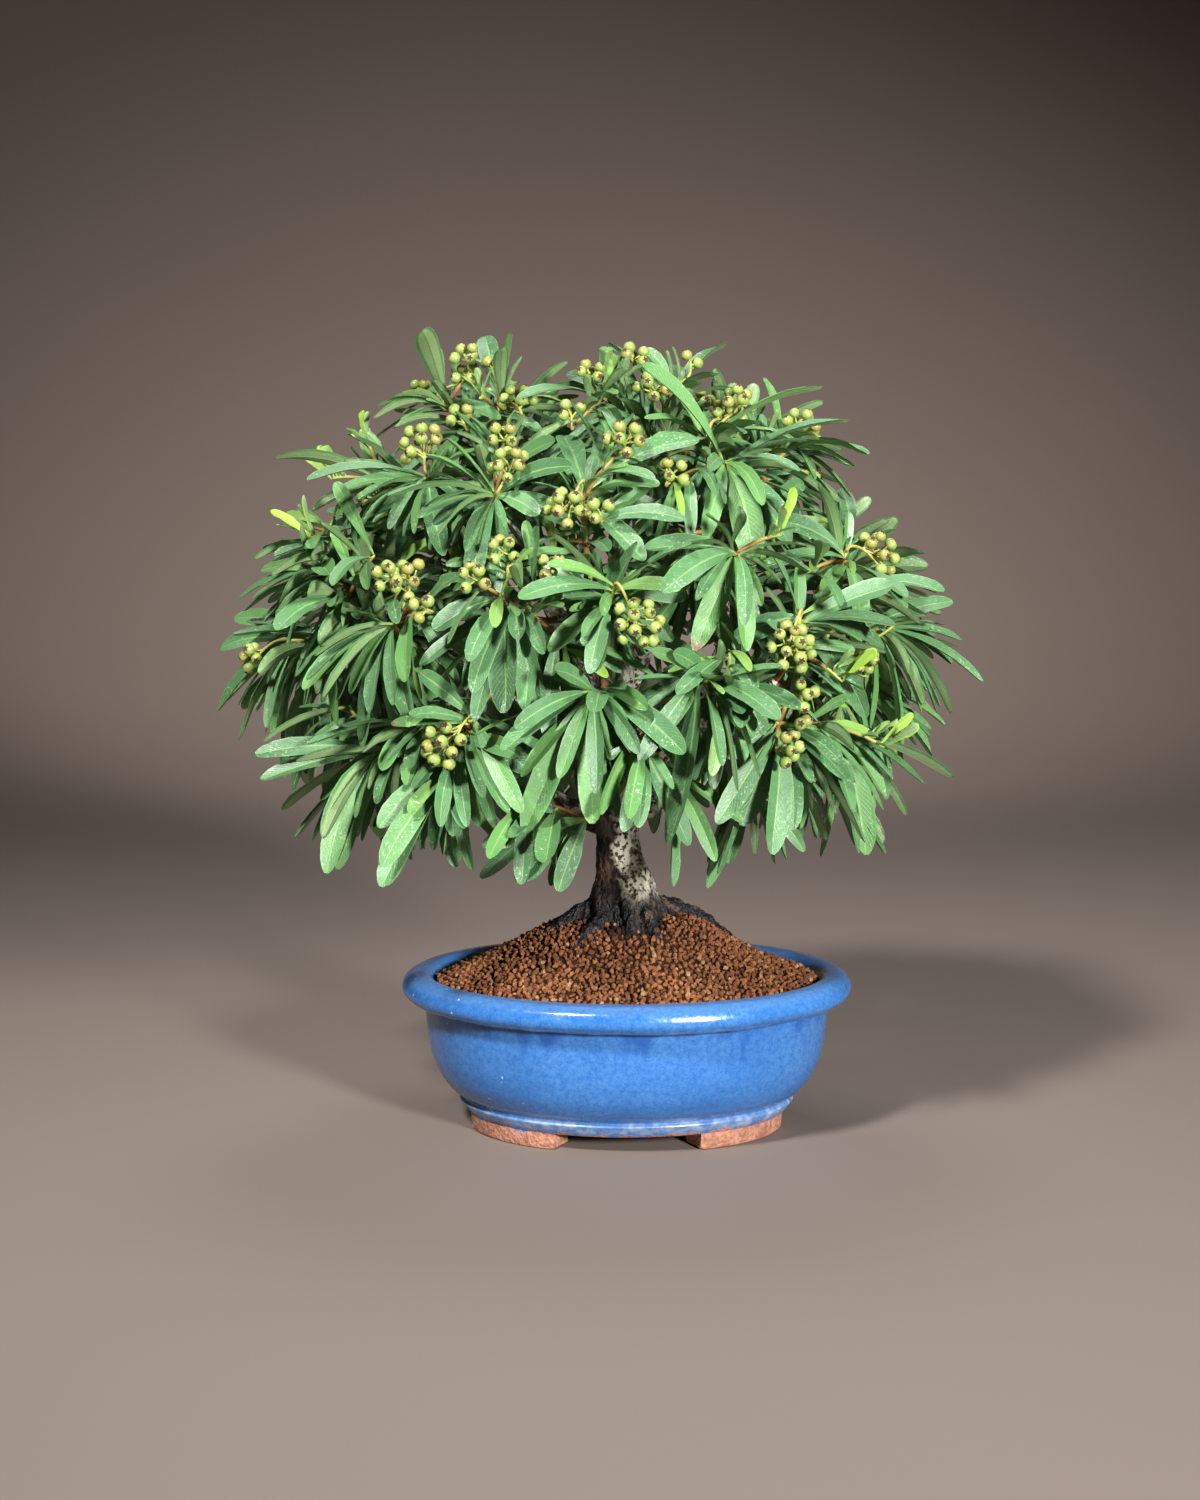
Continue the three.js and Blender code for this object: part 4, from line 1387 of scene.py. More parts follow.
# More bunches that the photograph shows: how many berries, and their middle
BERRY_SHOOTS = (
    (5, -69, -8, 339), (2, -58, -10, 334), (2, -91, -9, 328), (4, -71, -26, 314), (5, -53, -54, 307),
    (7, -48, -21, 323), (4, -24, -47, 317), (5, 2, -6, 334), (9, -2, -68, 302), (5, 18, -74, 292),
    (6, 45, -21, 316), (5, -52, -91, 260), (3, -32, -98, 254), (5, -63, -92, 248), (5, -99, -73, 248),
    (3, -84, -87, 236), (5, 63, -82, 178), (3, 71, -80, 187), (4, 74, -80, 199), (3, -12, -89, 276),
    (2, 27, -7, 336), (4, 34, -5, 323), (7, -96, 40, 286), (8, -40, 78, 276), (9, 30, 70, 290),
    (6, 84, 30, 288), (8, -20, 98, 236), (7, 60, 82, 240), (9, -100, 60, 232), (8, 112, 34, 234),
    (7, 0, 30, 322), (6, -60, 30, 316),
)

# Pale young shoots that stand out of the crown
SPROUTS = (
    (-112, -12, 303), (-127, -16, 287), (-143, -16, 268), (-80, -14, 334), (61, -80, 264), (86, -82, 205),
    (106, -60, 176), (-62, -42, 320), (-134, -30, 262),
)

# Sprays seen from the front. A tip is its place, its leading leaves as (dx, dy, dz, width) from there,
# how many more leaves grow round it by rule, and its berries as (count, dx, dy, dz) or None.
FRONT_SPRAYS = (
    (((-80, -14, 320), ((26, -14, -8, 9), (-17, -8, -9, 7), (-7, 3, 13, 6), (6, 2, 13, 5)), 3, (5, 10, 2,
      14)),
     ((-52, -12, 320), ((2, 0, 29, 9), (5, -4, 19, 6), (-14, -18, -16, 9), (16, -16, -14, 9)), 2, None),),
    (((-12, -14, 323), ((11, -2, 19, 7), (-23, -8, 4, 9), (-2, -22, -36, 9), (-22, -20, -30, 8)), 2, (5,
      -4, -8, 12)),
     ((17, -17, 321), ((34, -6, 2, 7), (16, 4, 11, 7), (26, -12, -14, 8)), 3, (8, -6, -12, 8)),),
    (((34, -36, 306), ((38, -4, -4, 9), (22, -8, -10, 8), (-24, -12, -4, 10), (-2, -14, -26, 8)), 2, (8,
      10, 14, 12)),),
    (((72, -14, 303), ((6, -10, -16, 9), (18, -4, -24, 7), (22, 6, -36, 7), (-12, -4, 10, 9)), 4, (10, 6,
      2, 10)),),
    (((-110, -10, 286), ((-9, -2, 15, 7), (12, 2, 15, 5), (-14, -6, -8, 6), (10, -16, -10, 7)), 3, None),
     ((-84, -46, 288), ((-13, -10, -22, 6), (-24, -6, -18, 6), (20, -10, 10, 11), (24, -14, -14, 11)), 2,
      (12, -6, 10, 18)),),
    (((-54, -66, 280), ((-24, -10, -12, 9), (14, -10, -8, 9), (3, -16, -40, 12), (28, -10, -12, 10)), 2,
      (9, 4, -2, 16)),),
    (((-18, -74, 284), ((-28, -12, 6, 10), (30, -8, 0, 9), (-10, -14, -38, 12), (24, -12, -30, 11)), 2,
      (10, -8, -12, -6)),),
    (((40, -54, 294), ((-9, -14, -32, 9), (2, -18, -42, 15), (22, -12, -34, 12), (-13, -8, -28, 6)), 2,
      None),),
    (((44, -80, 256), ((-38, -8, 3, 11), (-18, -8, -38, 11), (2, -8, -38, 10), (30, -4, -6, 9), (16, -6,
      12, 6)), 1, None),),
    (((92, -36, 256), ((-28, -12, 14, 11), (10, -8, -24, 9), (16, -2, 8, 8), (-12, -14, -24, 10)), 3, (12,
      20, 8, 2)),),
    (((-128, -14, 268), ((-18, -4, 0, 6), (26, -16, 0, 9), (-6, -10, -20, 9), (2, -2, 18, 5)), 2, None),
     ((-132, -22, 248), ((-28, -6, -12, 7), (-24, -2, -22, 7), (-14, -8, -34, 8), (8, -12, -22, 11)), 2,
      None),),
    (((-146, -18, 218), ((-24, -4, 5, 7), (-22, -4, -28, 6), (-10, -6, -40, 8), (-2, -10, -46, 8), (10, -6,
      -46, 7)), 2, (5, -17, -14, -6)),),
    (((-122, -40, 238), ((0, -10, -54, 11), (-14, -8, -46, 7), (12, -14, -30, 12), (18, -8, -50, 10)), 1,
      None),
     ((-95, -72, 228), ((-18, -8, -28, 11), (-2, -12, -24, 8), (-14, -2, -50, 10), (6, -6, -42, 7)), 1, (9,
      2, -2, 20)),),
    (((-52, -88, 240), ((-26, -8, -13, 12), (2, -12, -46, 15), (17, -8, -52, 12), (-10, -6, -50, 9), (-32,
      0, -28, 8)), 1, None),),
    (((-6, -92, 244), ((14, -10, -44, 11), (28, -6, -6, 12), (-6, -10, -34, 9), (-20, -8, -4, 10), (-26,
      -4, -26, 10)), 1, (13, 10, -10, -12)),),
    (((-16, -94, 202), ((-26, -4, -56, 13), (1, -8, -52, 13), (-16, -2, -34, 8), (20, -6, -26, 8), (-14,
      -6, 6, 8)), 1, None),
     ((8, -92, 178), ((-16, -8, -2, 5), (-4, -6, -28, 10), (-15, -8, 14, 8), (16, -2, -38, 10)), 1, None),),
    (((-62, -86, 192), ((-20, -8, 18, 8), (-24, -6, -6, 10), (22, -6, -22, 12), (8, -2, -46, 7)), 1, (11,
      -16, -10, -12)),
     ((-72, -74, 166), ((12, -2, -46, 7), (-8, -6, -30, 11), (18, 0, -26, 8), (-26, -4, -20, 8)), 1, None),),
    (((26, -90, 208), ((-16, -6, -66, 18), (-16, -10, -24, 9), (24, -6, -24, 13), (8, 2, -46, 10)), 1,
      None),
     ((40, -84, 218), ((28, -8, -16, 12), (-18, -8, 22, 10), (-6, -6, -34, 10), (12, -4, -34, 9)), 1,
      None),),
    (((70, -72, 232), ((-24, -8, -12, 12), (36, -8, 12, 13), (26, -4, -44, 10), (0, -8, 26, 9), (12, -6,
      -40, 9)), 1, (14, 0, -12, -12)),),
    (((112, -20, 224), ((24, 0, 10, 9), (36, -2, -24, 8), (6, -6, -60, 12), (16, 4, -38, 6), (-8, -8, -44,
      10)), 2, (14, -8, -18, -8)),),
    (((60, -76, 188), ((-14, -4, -42, 13), (-20, -6, -14, 8), (0, -2, -48, 12), (14, -6, -24, 9)), 1,
      None),
     ((78, -62, 186), ((18, 0, -54, 7), (28, 0, -36, 5), (-6, 2, -44, 9), (12, -6, 12, 5)), 1, None),),
    (((-106, -52, 174), ((4, -4, -32, 10), (26, 4, -34, 10), (-10, -2, -24, 6), (-12, -4, -44, 9)), 3,
      None),),
    (((-16, -74, 148), ((-42, -4, -10, 10), (-10, -4, -16, 9), (-24, 6, -22, 7)), 1, None),),
)


@dataclass
class Leaf:
    """One leaf: the curve of its midrib, where its face looks, how broad it is, and where it lies."""

    rib: Bend
    facing: Point
    width: float
    points: Point
    young: float = 0.0


@dataclass
class Tip:
    """The end of a twig, with what grows there."""

    place: Point
    leading: Sequence[Sequence[float]]
    more: int
    berries: Sequence[float] | None
    seed: int
    curve: Bend


@dataclass
class Spray:
    """Shoots whose leaves make one piece: a spray of the solids, or the finer shoots of one side."""

    name: str
    node: str | None = None
    branch: Bend | None = None
    tips: list[Tip] = field(default_factory=list)
    leaves: list[Leaf] = field(default_factory=list)

    def shoot_name(self, tip: Tip) -> str:
        """The name that one of its shoots goes by where leaves keep clear of each other."""
        return self.name + str(tip.seed)


@dataclass
class Bunch:
    """A bunch of berries on its stalk, with its node where the solids have it."""

    name: str
    node: str | None
    stalk: Bend
    hub: Point
    berries: Point

    def root(self) -> Point:
        """Where the berry stems leave the stalk."""
        return self.hub - self.stalk.along(1.0) * 3


def outward(place: Point) -> Point:
    """The direction from the middle of the crown to a place."""
    return unit(place - CROWN_MIDDLE)


def nearest(places: Point, place: Point) -> Point:
    """The one of some places that is nearest to another."""
    return places[np.argmin(np.linalg.norm(places - place, axis=1))]


def apart(one: Point, other: Point) -> float:
    """How far two points are apart."""
    return float(np.linalg.norm(one - other))


def blade_share(share: Point) -> Point:
    """How broad a leaf is at a share of its length, as in the solids."""
    share = np.asarray(share, float)
    rising = 0.1 + 0.9 * np.sin(np.pi / 2 * np.minimum(share / BROADEST, 1)) ** 1.3
    return np.where(share < BROADEST, rising, 1 - (np.maximum(share - BROADEST, 0) / 0.36) ** 2.4)


class Room:
    """Remembers where twigs, leaves and berries lie, so that new leaves keep clear of them."""

    MOST = 400_000
    ROUND = np.array([(a << 20) + (b << 10) + c for a in (-1, 0, 1) for b in (-1, 0, 1) for c in (-1, 0, 1)])

    def __init__(self) -> None:
        """Starts with nothing in the crown."""
        self.places = np.empty((self.MOST, 3))
        self.number = np.empty(self.MOST, int)
        self.thin, self.inner = np.empty((2, self.MOST), bool)
        self.count = 0
        self.owners: dict[str, int] = {}
        self.sort(LEAF_CLEAR)

    def sort(self, cell: float) -> None:
        """Sorts what is there into cells of another size, at least the distance that is kept."""
        self.cell = cell
        self.cells: dict[int, list[int]] = defaultdict(list)
        self._store(self.places[: self.count], 0)

    def _keys(self, points: Point) -> np.ndarray:
        """The number of the cell that each point lies in."""
        cells = np.floor(points / self.cell).astype(int) + 512
        return (cells[:, 0] << 20) + (cells[:, 1] << 10) + cells[:, 2]

    def _store(self, points: Point, first: int) -> None:
        """Puts points in their cells, numbered from the first."""
        for n, key in enumerate(self._keys(points).tolist(), first):
            self.cells[key].append(n)

    def occupy(self, points: Point, owner: str, inner: int = 0, thin: bool = False) -> None:
        """Adds points.

        Args:
            points: Where the piece lies.
            owner: The node that it belongs to.
            inner: How many of the first points lie near the twig, where the node's own pieces may meet.
            thin: Whether it is a stem, which others may pass closely near their own twig.
        """
        there = slice(self.count, self.count + len(points))
        self.places[there] = points
        self.number[there] = self.owners.setdefault(owner, len(self.owners))
        self.thin[there] = thin
        self.inner[there] = np.arange(len(points)) < inner
        self._store(points, self.count)
        self.count = there.stop

    def is_clear(self, points: Point, owner: str, inner: int, clear: float, own: float) -> bool:
        """Whether a leaf keeps its distance from all that is there.

        Args:
            points: The leaf's points, those near its twig first.
            owner: The node that it would belong to.
            inner: How many of the points lie near its twig.
            clear: The distance to other nodes.
            own: The distance to the node's own leaves.

        Returns:
            True where nothing is too near.
        """
        wanted = np.unique(np.unique(self._keys(points))[:, None] + self.ROUND).tolist()
        found = [n for key in wanted if key in self.cells for n in self.cells[key]]
        if not found:
            return True
        distances = np.linalg.norm(points[:, None] - self.places[found][None], axis=2)
        same = self.number[found] == self.owners.get(owner, -1)
        near_twig = (np.arange(len(points)) < inner)[:, None]
        needed = np.where(near_twig & self.thin[found][None], min(STALK_CLEAR, clear), clear)
        needed = np.where(same[None], np.where(near_twig | self.inner[found][None], 0.0, own), needed)
        return not bool((distances < needed).any())


@dataclass
class Crown:
    """The crown as it grows: first what the solids hold, then the leaves that fill it."""

    back_count: int = 12
    back_leaves: int = 10
    back_low: float = -0.2
    back_high: float = 0.95
    back_reach: Place = (118, 100, 108)
    back_middle: Place = (-14, 4, 208)
    back_berries: tuple[int, ...] = (1, 3, 6, 8, 11)
    back_berry_count: int = 10
    golden: float = 0.618034
    sample_rows: int = 15
    inner_points: int = 25
    filler: int = 22
    infill_count: int = 170
    infill_apart: float = 15
    infill_leaves: int = 10
    infill_reach: Place = (136, 100, 114)
    infill_middle: Place = (-14, 1, 204)
    outline_reach: Place = (166, 127, 148)
    outline_middle: Place = (-14, 1.4, 200)
    trunk_view: tuple[Place, Place] = ((-22, -200, 0), (16, 0, 148))
    fruit_seed: int = 900
    sprout_seed: int = 1300
    infill_seed: int = 500
    filler_seed: int = 7000

    def __post_init__(self) -> None:
        """Grows the crown: first in the order of the solids, then the finer shoots."""
        self.room = Room()
        self.limbs = [Bend(vec(*a), vec(*b), vec(*c)) for a, b, c, _, _ in LIMBS]
        self.sprays = [self.spray(n, tips) for n, tips in enumerate([*FRONT_SPRAYS, *self.back_rows()])]
        fruiting = [tip for spray in self.sprays for tip in spray.tips if tip.berries]
        self.bunches = [
            self.bunch(tip, f"berries_{n:02d}", f"berry_bunch_{n:02d}") for n, tip in enumerate(fruiting, 1)
        ]
        for stem in (*self.limbs, *(spray.branch for spray in self.sprays)):
            self.occupy_stem(stem, "trunk")
        for spray in self.sprays:
            for tip in spray.tips:
                self.occupy_stem(tip.curve, spray.name)
        for bunch in self.bunches:
            self.occupy_bunch(bunch)
        for spray in self.sprays:
            self.leading_leaves(spray)
        for spray in self.sprays:
            self.rule_leaves(spray)
        log.info("crown: %d leaves as in the solids", sum(len(s.leaves) for s in self.sprays))
        self.stems = self.starts()
        fruit, infill = self.fruiting_shoots(), self.infill_shoots()
        for spray in (fruit, *infill):
            for tip in spray.tips:
                self.occupy_stem(tip.curve, spray.shoot_name(tip))
        for bunch in self.bunches:
            self.shield(bunch)
        self.room.sort(FINE_CLEAR)
        young = self.sprouts()
        for spray in (*self.sprays, fruit, *infill):
            self.fill(spray, self.filler if spray.node else self.infill_leaves)
        self.sprays += [fruit, young, *infill]
        log.info("crown: %d leaves in all", sum(len(s.leaves) for s in self.sprays))

    def back_rows(self) -> list[list[tuple]]:
        """The sprays on the sides and the back, spread evenly over the dome.

        Returns:
            Each spray's tips, laid out as in FRONT_SPRAYS.
        """
        rows = []
        for i in range(self.back_count):
            height = lerp(self.back_low, self.back_high, (i + 0.5) / self.back_count)
            angle = math.pi * (((i * self.golden) % 1) * 1.06 - 0.03)
            place = np.array(self.back_middle) + np.array(self.back_reach) * on_ball(height, angle)
            x, y, z = outward(place) * 10
            berries = (self.back_berry_count, x, y, z + 3) if i in self.back_berries else None
            rows.append([(place, (), self.back_leaves, berries)])
        return rows

    def spray(self, number: int, rows: Sequence[tuple]) -> Spray:
        """Seats a spray: the nearest limb, a branch from it, and a twig to each tip.

        Args:
            number: Its place in the order of the solids, from 0.
            rows: Its tips, laid out as in FRONT_SPRAYS.

        Returns:
            The spray, without its leaves.
        """
        places = [vec(*row[0]) for row in rows]
        middle = sum(places) / len(places)
        anchor = nearest(np.vstack([limb.at(np.arange(3, 11) / 10) for limb in self.limbs]), middle)
        reach = apart(middle, anchor)
        end = middle - unit(middle - anchor) * min(TWIG_LENGTH, reach * 0.6)
        branch = Bend(anchor, (anchor + end) / 2 + UP * BRANCH_RISE * reach, end)
        along = branch.along(1.0)
        start = end + along * GAP
        made = Spray(f"leaves_{number + 1:02d}", f"leafy_spray_{number + 1:02d}", branch)
        for k, (place, (_, leading, more, berries)) in enumerate(zip(places, rows)):
            curve = Bend(start, start + along * TWIG_BEND * apart(place, start), place)
            made.tips.append(Tip(place, leading, more, berries, 100 + 10 * number + k, curve))
        return made

    def starts(self) -> Point:
        """Places on the limbs, branches and twigs where a finer shoot can start."""
        twigs = (tip.curve for spray in self.sprays for tip in spray.tips)
        curves = (*self.limbs, *(spray.branch for spray in self.sprays), *twigs)
        return np.vstack([curve.at(np.linspace(0.35, 0.9, 8)) for curve in curves])

    def shoot(self, place: Point, seed: int, berries: Sequence[float] | None = None) -> Tip:
        """A finer shoot from the nearest stem to a place."""
        start = nearest(self.stems, place)
        knee = (start + place) / 2 + UP * SHOOT_RISE * apart(place, start)
        return Tip(place, (), 0, berries, seed, Bend(start, knee, place))

    def fruiting_shoots(self) -> Spray:
        """The finer shoots that carry the other bunches of berries that the photograph shows.

        Returns:
            The shoots, without their leaves.
        """
        spray = Spray("leaves_by_berries")
        for seed, (count, *place) in enumerate(BERRY_SHOOTS, self.fruit_seed):
            away = outward(vec(*place))
            tip = self.shoot(vec(*place) - away * 10, seed, (count, *(away * 10)))
            bunch = self.bunch(tip, "berries_between")
            toward = unit(away * 0.6 - vec(0, 0.8, 0) * (place[1] < 0))
            for step in range(8):
                if self.room.is_clear(bunch.berries + toward * 2 * step, bunch.name, 0, 3.3, 0):
                    break
            tip = self.shoot(tip.place + toward * 2 * step, seed, tip.berries)
            spray.tips.append(tip)
            self.bunches.append(self.bunch(tip, "berries_between"))
            self.occupy_bunch(self.bunches[-1])
        return spray

    def sprouts(self) -> Spray:
        """The pale young shoots, each with a few small leaves that stand up.

        Returns:
            The shoots with their leaves.
        """
        spray = Spray("leaves_young")
        for seed, place in enumerate(SPROUTS, self.sprout_seed):
            tip = self.shoot(vec(*place), seed)
            spray.tips.append(tip)
            self.occupy_stem(tip.curve, spray.shoot_name(tip))
            for i in range(6):

                def make(k: int) -> Leaf:
                    """The leaf at attempt k.

                    Args:
                        k: Which attempt it is, from 0.

                    Returns:
                        The leaf to try.
                    """
                    spoke = around(tip.curve.along(1.0), i * TURN + 0.6 * k)
                    aim = unit(spoke * 0.75 + outward(tip.place) * 0.8 + UP * 0.5)
                    reach = 21 - 1.8 * i - 0.4 * k
                    made = self.leaf(tip.curve.at(1 - 0.06 * i), aim * reach, 0.27 * reach, 0)
                    made.young = 0.85 - 0.12 * i
                    return made

                self.place(spray, 10, make, spray.shoot_name(tip))
        return spray

    def infill_shoots(self) -> list[Spray]:
        """Finer shoots spread over the dome between the sprays, one group for each quarter.

        Returns:
            The four groups, without their leaves.
        """
        quarters = [Spray(f"leaves_between_{n}") for n in (1, 2, 3, 4)]
        taken = [tip.place for spray in self.sprays for tip in spray.tips]
        random = Seeded(77)
        for i in range(self.infill_count):
            ball = on_ball(lerp(-0.5, 0.98, (i + 0.5) / self.infill_count), 2 * math.pi * i * self.golden)
            away = np.array(self.infill_reach) * ball * lerp(0.74, 1, random())
            place = np.array(self.infill_middle) + away
            if min(apart(place, other) for other in taken) > self.infill_apart:
                taken.append(place)
                quarter = quarters[2 * int(place[0] > self.infill_middle[0]) + int(place[1] > 0)]
                quarter.tips.append(self.shoot(place, self.infill_seed + i))
        return quarters

    def shield(self, bunch: Bunch) -> None:
        """Keeps the room outside a bunch free of finer leaves, so that it shows.

        Args:
            bunch: The bunch.
        """
        ways = [outward(bunch.hub) * step for step in (5, 9, 13)]
        if bunch.hub[1] < 10:
            ways += [vec(0, -step, 0.1 * step) for step in (6, 12, 18, 24)]
        for way in ways:
            self.room.occupy(bunch.berries + way, bunch.name)

    def inside(self, points: Point) -> bool:
        """Whether all points lie inside the dome's outline and leave the trunk in view.

        Args:
            points: A leaf's points.

        Returns:
            True where the leaf may grow.
        """
        away = (points - self.outline_middle) / self.outline_reach
        away[:, 2] = np.maximum(away[:, 2], 0)
        low, high = self.trunk_view
        hiding = ((points > low) & (points < high)).all(axis=1).any()
        return bool((np.linalg.norm(away, axis=1) < 1).all() and not hiding)

    def bunch(self, tip: Tip, name: str, node: str | None = None) -> Bunch:
        """Sets a flat-topped bunch of berries on a stalk that carries on from the twig.

        Args:
            tip: The twig's tip that carries it.
            name: The piece that it belongs to.
            node: Its node in the solids, or None.

        Returns:
            The bunch.
        """
        count, *shift = tip.berries
        middle = tip.place + vec(*shift)
        along = tip.curve.along(1.0)
        start = tip.place + along * GAP
        away = outward(middle)
        crown = 2.35 * math.sqrt(count)
        hub = middle - away * crown
        stalk = Bend(start, start + along * 0.4 * apart(hub, start), hub)
        normal, side = across(away, vec(0.3, 0.2, 1))
        berries = []
        for i in range(count):
            lean = math.acos(1 - 1.05 * (i + 0.5) / count)
            wide = 1.1 * crown * math.sin(lean)
            spoke = side * math.cos(i * TURN) + normal * math.sin(i * TURN)
            berries.append(hub + away * 1.15 * crown * math.cos(lean) + spoke * wide)
        return Bunch(name, node, stalk, hub, np.array(berries))

    def occupy_stem(self, curve: Bend, owner: str) -> None:
        """Marks a stem in the room."""
        steps = math.ceil(curve.length() / 2.5)
        self.room.occupy(curve.at(np.arange(steps + 1) / steps), owner, steps + 1, True)

    def occupy_bunch(self, bunch: Bunch) -> None:
        """Marks a bunch's stalk and berries in the room.

        Args:
            bunch: The bunch.
        """
        self.occupy_stem(bunch.stalk, bunch.name)
        shell = np.vstack([np.eye(3), -np.eye(3)]) * BERRY_RADIUS * 0.7
        for berry in bunch.berries:
            self.room.occupy(np.vstack([berry + shell, (berry + bunch.hub) / 2]), bunch.name)

    def leaf(self, base: Point, way: Point, width: float, roll: float) -> Leaf:
        """Shapes a leaf from its base along its way to its tip, arched up and out.

        Args:
            base: Where it leaves the twig.
            way: From its base to its tip.
            width: How broad it is.
            roll: How far its face is turned about its midrib.

        Returns:
            The leaf.
        """
        tip = base + way
        length = apart(tip, base)
        away = outward((base + tip) / 2)
        lift = (away * 0.7 + UP * 0.7) * LEAF_ARCH * length
        rib = Bend(base, base + (tip - base) * 0.45 + lift, tip)
        facing = turned(away + UP * 0.45, unit(tip - base), roll)
        shares = np.arange(1, self.sample_rows + 1) / self.sample_rows
        _, side = across(rib.along(shares), facing)
        broad = width * blade_share(np.minimum(shares, 0.97))
        offsets = np.array((-0.5, -0.25, 0, 0.25, 0.5))[None, :, None] * (side * broad[:, None])[:, None]
        return Leaf(rib, facing, width, (rib.at(shares)[:, None] + offsets).reshape(-1, 3))

    def place(self, spray: Spray, attempts: int, make: Callable[[int], Leaf], shoot: str = "") -> None:
        """Tries a leaf in place, then turned or lifted a little, until it is clear of its neighbours.

        Args:
            spray: The spray that it joins.
            attempts: How many places to try.
            make: Shapes the leaf for an attempt.
            shoot: The finer shoot that it grows on, or nothing for a leaf of the solids.
        """
        owner = shoot or spray.name
        apart_by = (FINE_CLEAR, FINE_OWN_CLEAR) if shoot else (LEAF_CLEAR, OWN_CLEAR)
        for leaf in map(make, range(attempts)):
            if leaf.points[:, 2].min() <= LOWEST_LEAF or (shoot and not self.inside(leaf.points)):
                continue
            if self.room.is_clear(leaf.points, owner, self.inner_points, *apart_by):
                self.room.occupy(leaf.points, owner, self.inner_points)
                spray.leaves.append(leaf)
                return

    @staticmethod
    def on_twig(curve: Bend, share: float) -> Point:
        """The middle of the faceted twig at a share of its length."""
        step = math.floor(share * TWIG_STEPS)
        low, high = curve.at(step / TWIG_STEPS), curve.at((step + 1) / TWIG_STEPS)
        return lerp(low, high, share * TWIG_STEPS - step)

    @staticmethod
    def droop(tip: Tip, least: float, more: float) -> float:
        """How far leaves hang down: least at the top of the crown, by more at its sides and below."""
        return least + more * (1 - max(0.0, float(outward(tip.place)[2])))

    def leading_leaves(self, spray: Spray) -> None:
        """Sets the leaves that the photograph shows plainly.

        Args:
            spray: The spray that they join.
        """
        for tip in spray.tips:
            for n, (dx, dy, dz, width) in enumerate(tip.leading):
                base = self.on_twig(tip.curve, 0.95 - 0.07 * n)

                def make(k: int) -> Leaf:
                    """The leaf at attempt k.

                    Args:
                        k: Which attempt it is, from 0.

                    Returns:
                        The leaf to try.
                    """
                    swing = (1 if k % 2 else -1) * math.ceil(k / 2) * 0.07
                    end = tip.place + turned(vec(dx, dy, dz), UP, swing) + unit(vec(dx, dy, 0)) * 2 * (k % 4)
                    return self.leaf(base, end - base, width, 2 * swing)

                self.place(spray, 20, make)

    def rule_leaves(self, spray: Spray) -> None:
        """Sets more leaves round each tip by rule.

        Args:
            spray: The spray that they join.
        """
        for tip in spray.tips:
            random = Seeded(tip.seed)
            along = tip.curve.along(1.0)
            ahead, out, down = along * 0.5, outward(tip.place) * 0.35, UP * self.droop(tip, 0.2, 1.3)
            for n in range(tip.more):
                base = self.on_twig(tip.curve, 0.92 - 0.05 * n)
                length = lerp(LEAF_SHORTEST, LEAF_LONGEST, random())
                start = n * TURN + random() * 0.5
                roll = (random() - 0.5) * 0.9

                def make(k: int) -> Leaf:
                    """The leaf at attempt k.

                    Args:
                        k: Which attempt it is, from 0.

                    Returns:
                        The leaf to try.
                    """
                    aim = unit(around(along, start + k * 0.47) + ahead + out - down)
                    return self.leaf(base, aim * (length * (1 - 0.02 * k)), LEAF_SPREAD * length, roll)

                self.place(spray, 14, make)

    def fill(self, spray: Spray, count: int) -> None:
        """Sets finer leaves along each twig of a spray and round its tip.

        Args:
            spray: The spray that they join.
            count: How many leaves each twig gets at most.
        """
        for tip in spray.tips:
            random = Seeded(self.filler_seed + tip.seed)
            droop = self.droop(tip, 0.1, 1.25)
            size = lerp(1.12, 0.74, held((float(tip.place[2]) - 150) / 150))
            for n in range(count):
                share = 0.99 - 0.8 * n / count
                along = tip.curve.along(share)
                length = lerp(30, 60, random()) * size
                spread = lerp(0.17, 0.25, random())
                start, roll, lean = n * TURN + random(), (random() - 0.5) * 2, 0.2 + 0.8 * random()

                def make(k: int) -> Leaf:
                    """The leaf at attempt k.

                    Args:
                        k: Which attempt it is, from 0.

                    Returns:
                        The leaf to try.
                    """
                    aim = around(along, start + k * 0.83) + along * lean + outward(tip.place) * 0.45
                    reach = length * (1 - 0.05 * k)
                    way = unit(aim - UP * droop * (0.6 + 0.4 * lean)) * reach
                    made = self.leaf(tip.curve.at(share), way, spread * reach, roll)
                    made.young = held(1.6 - reach / 22) if n < 3 else 0.0
                    return made

                self.place(spray, 11, make, spray.name if spray.node else spray.shoot_name(tip))


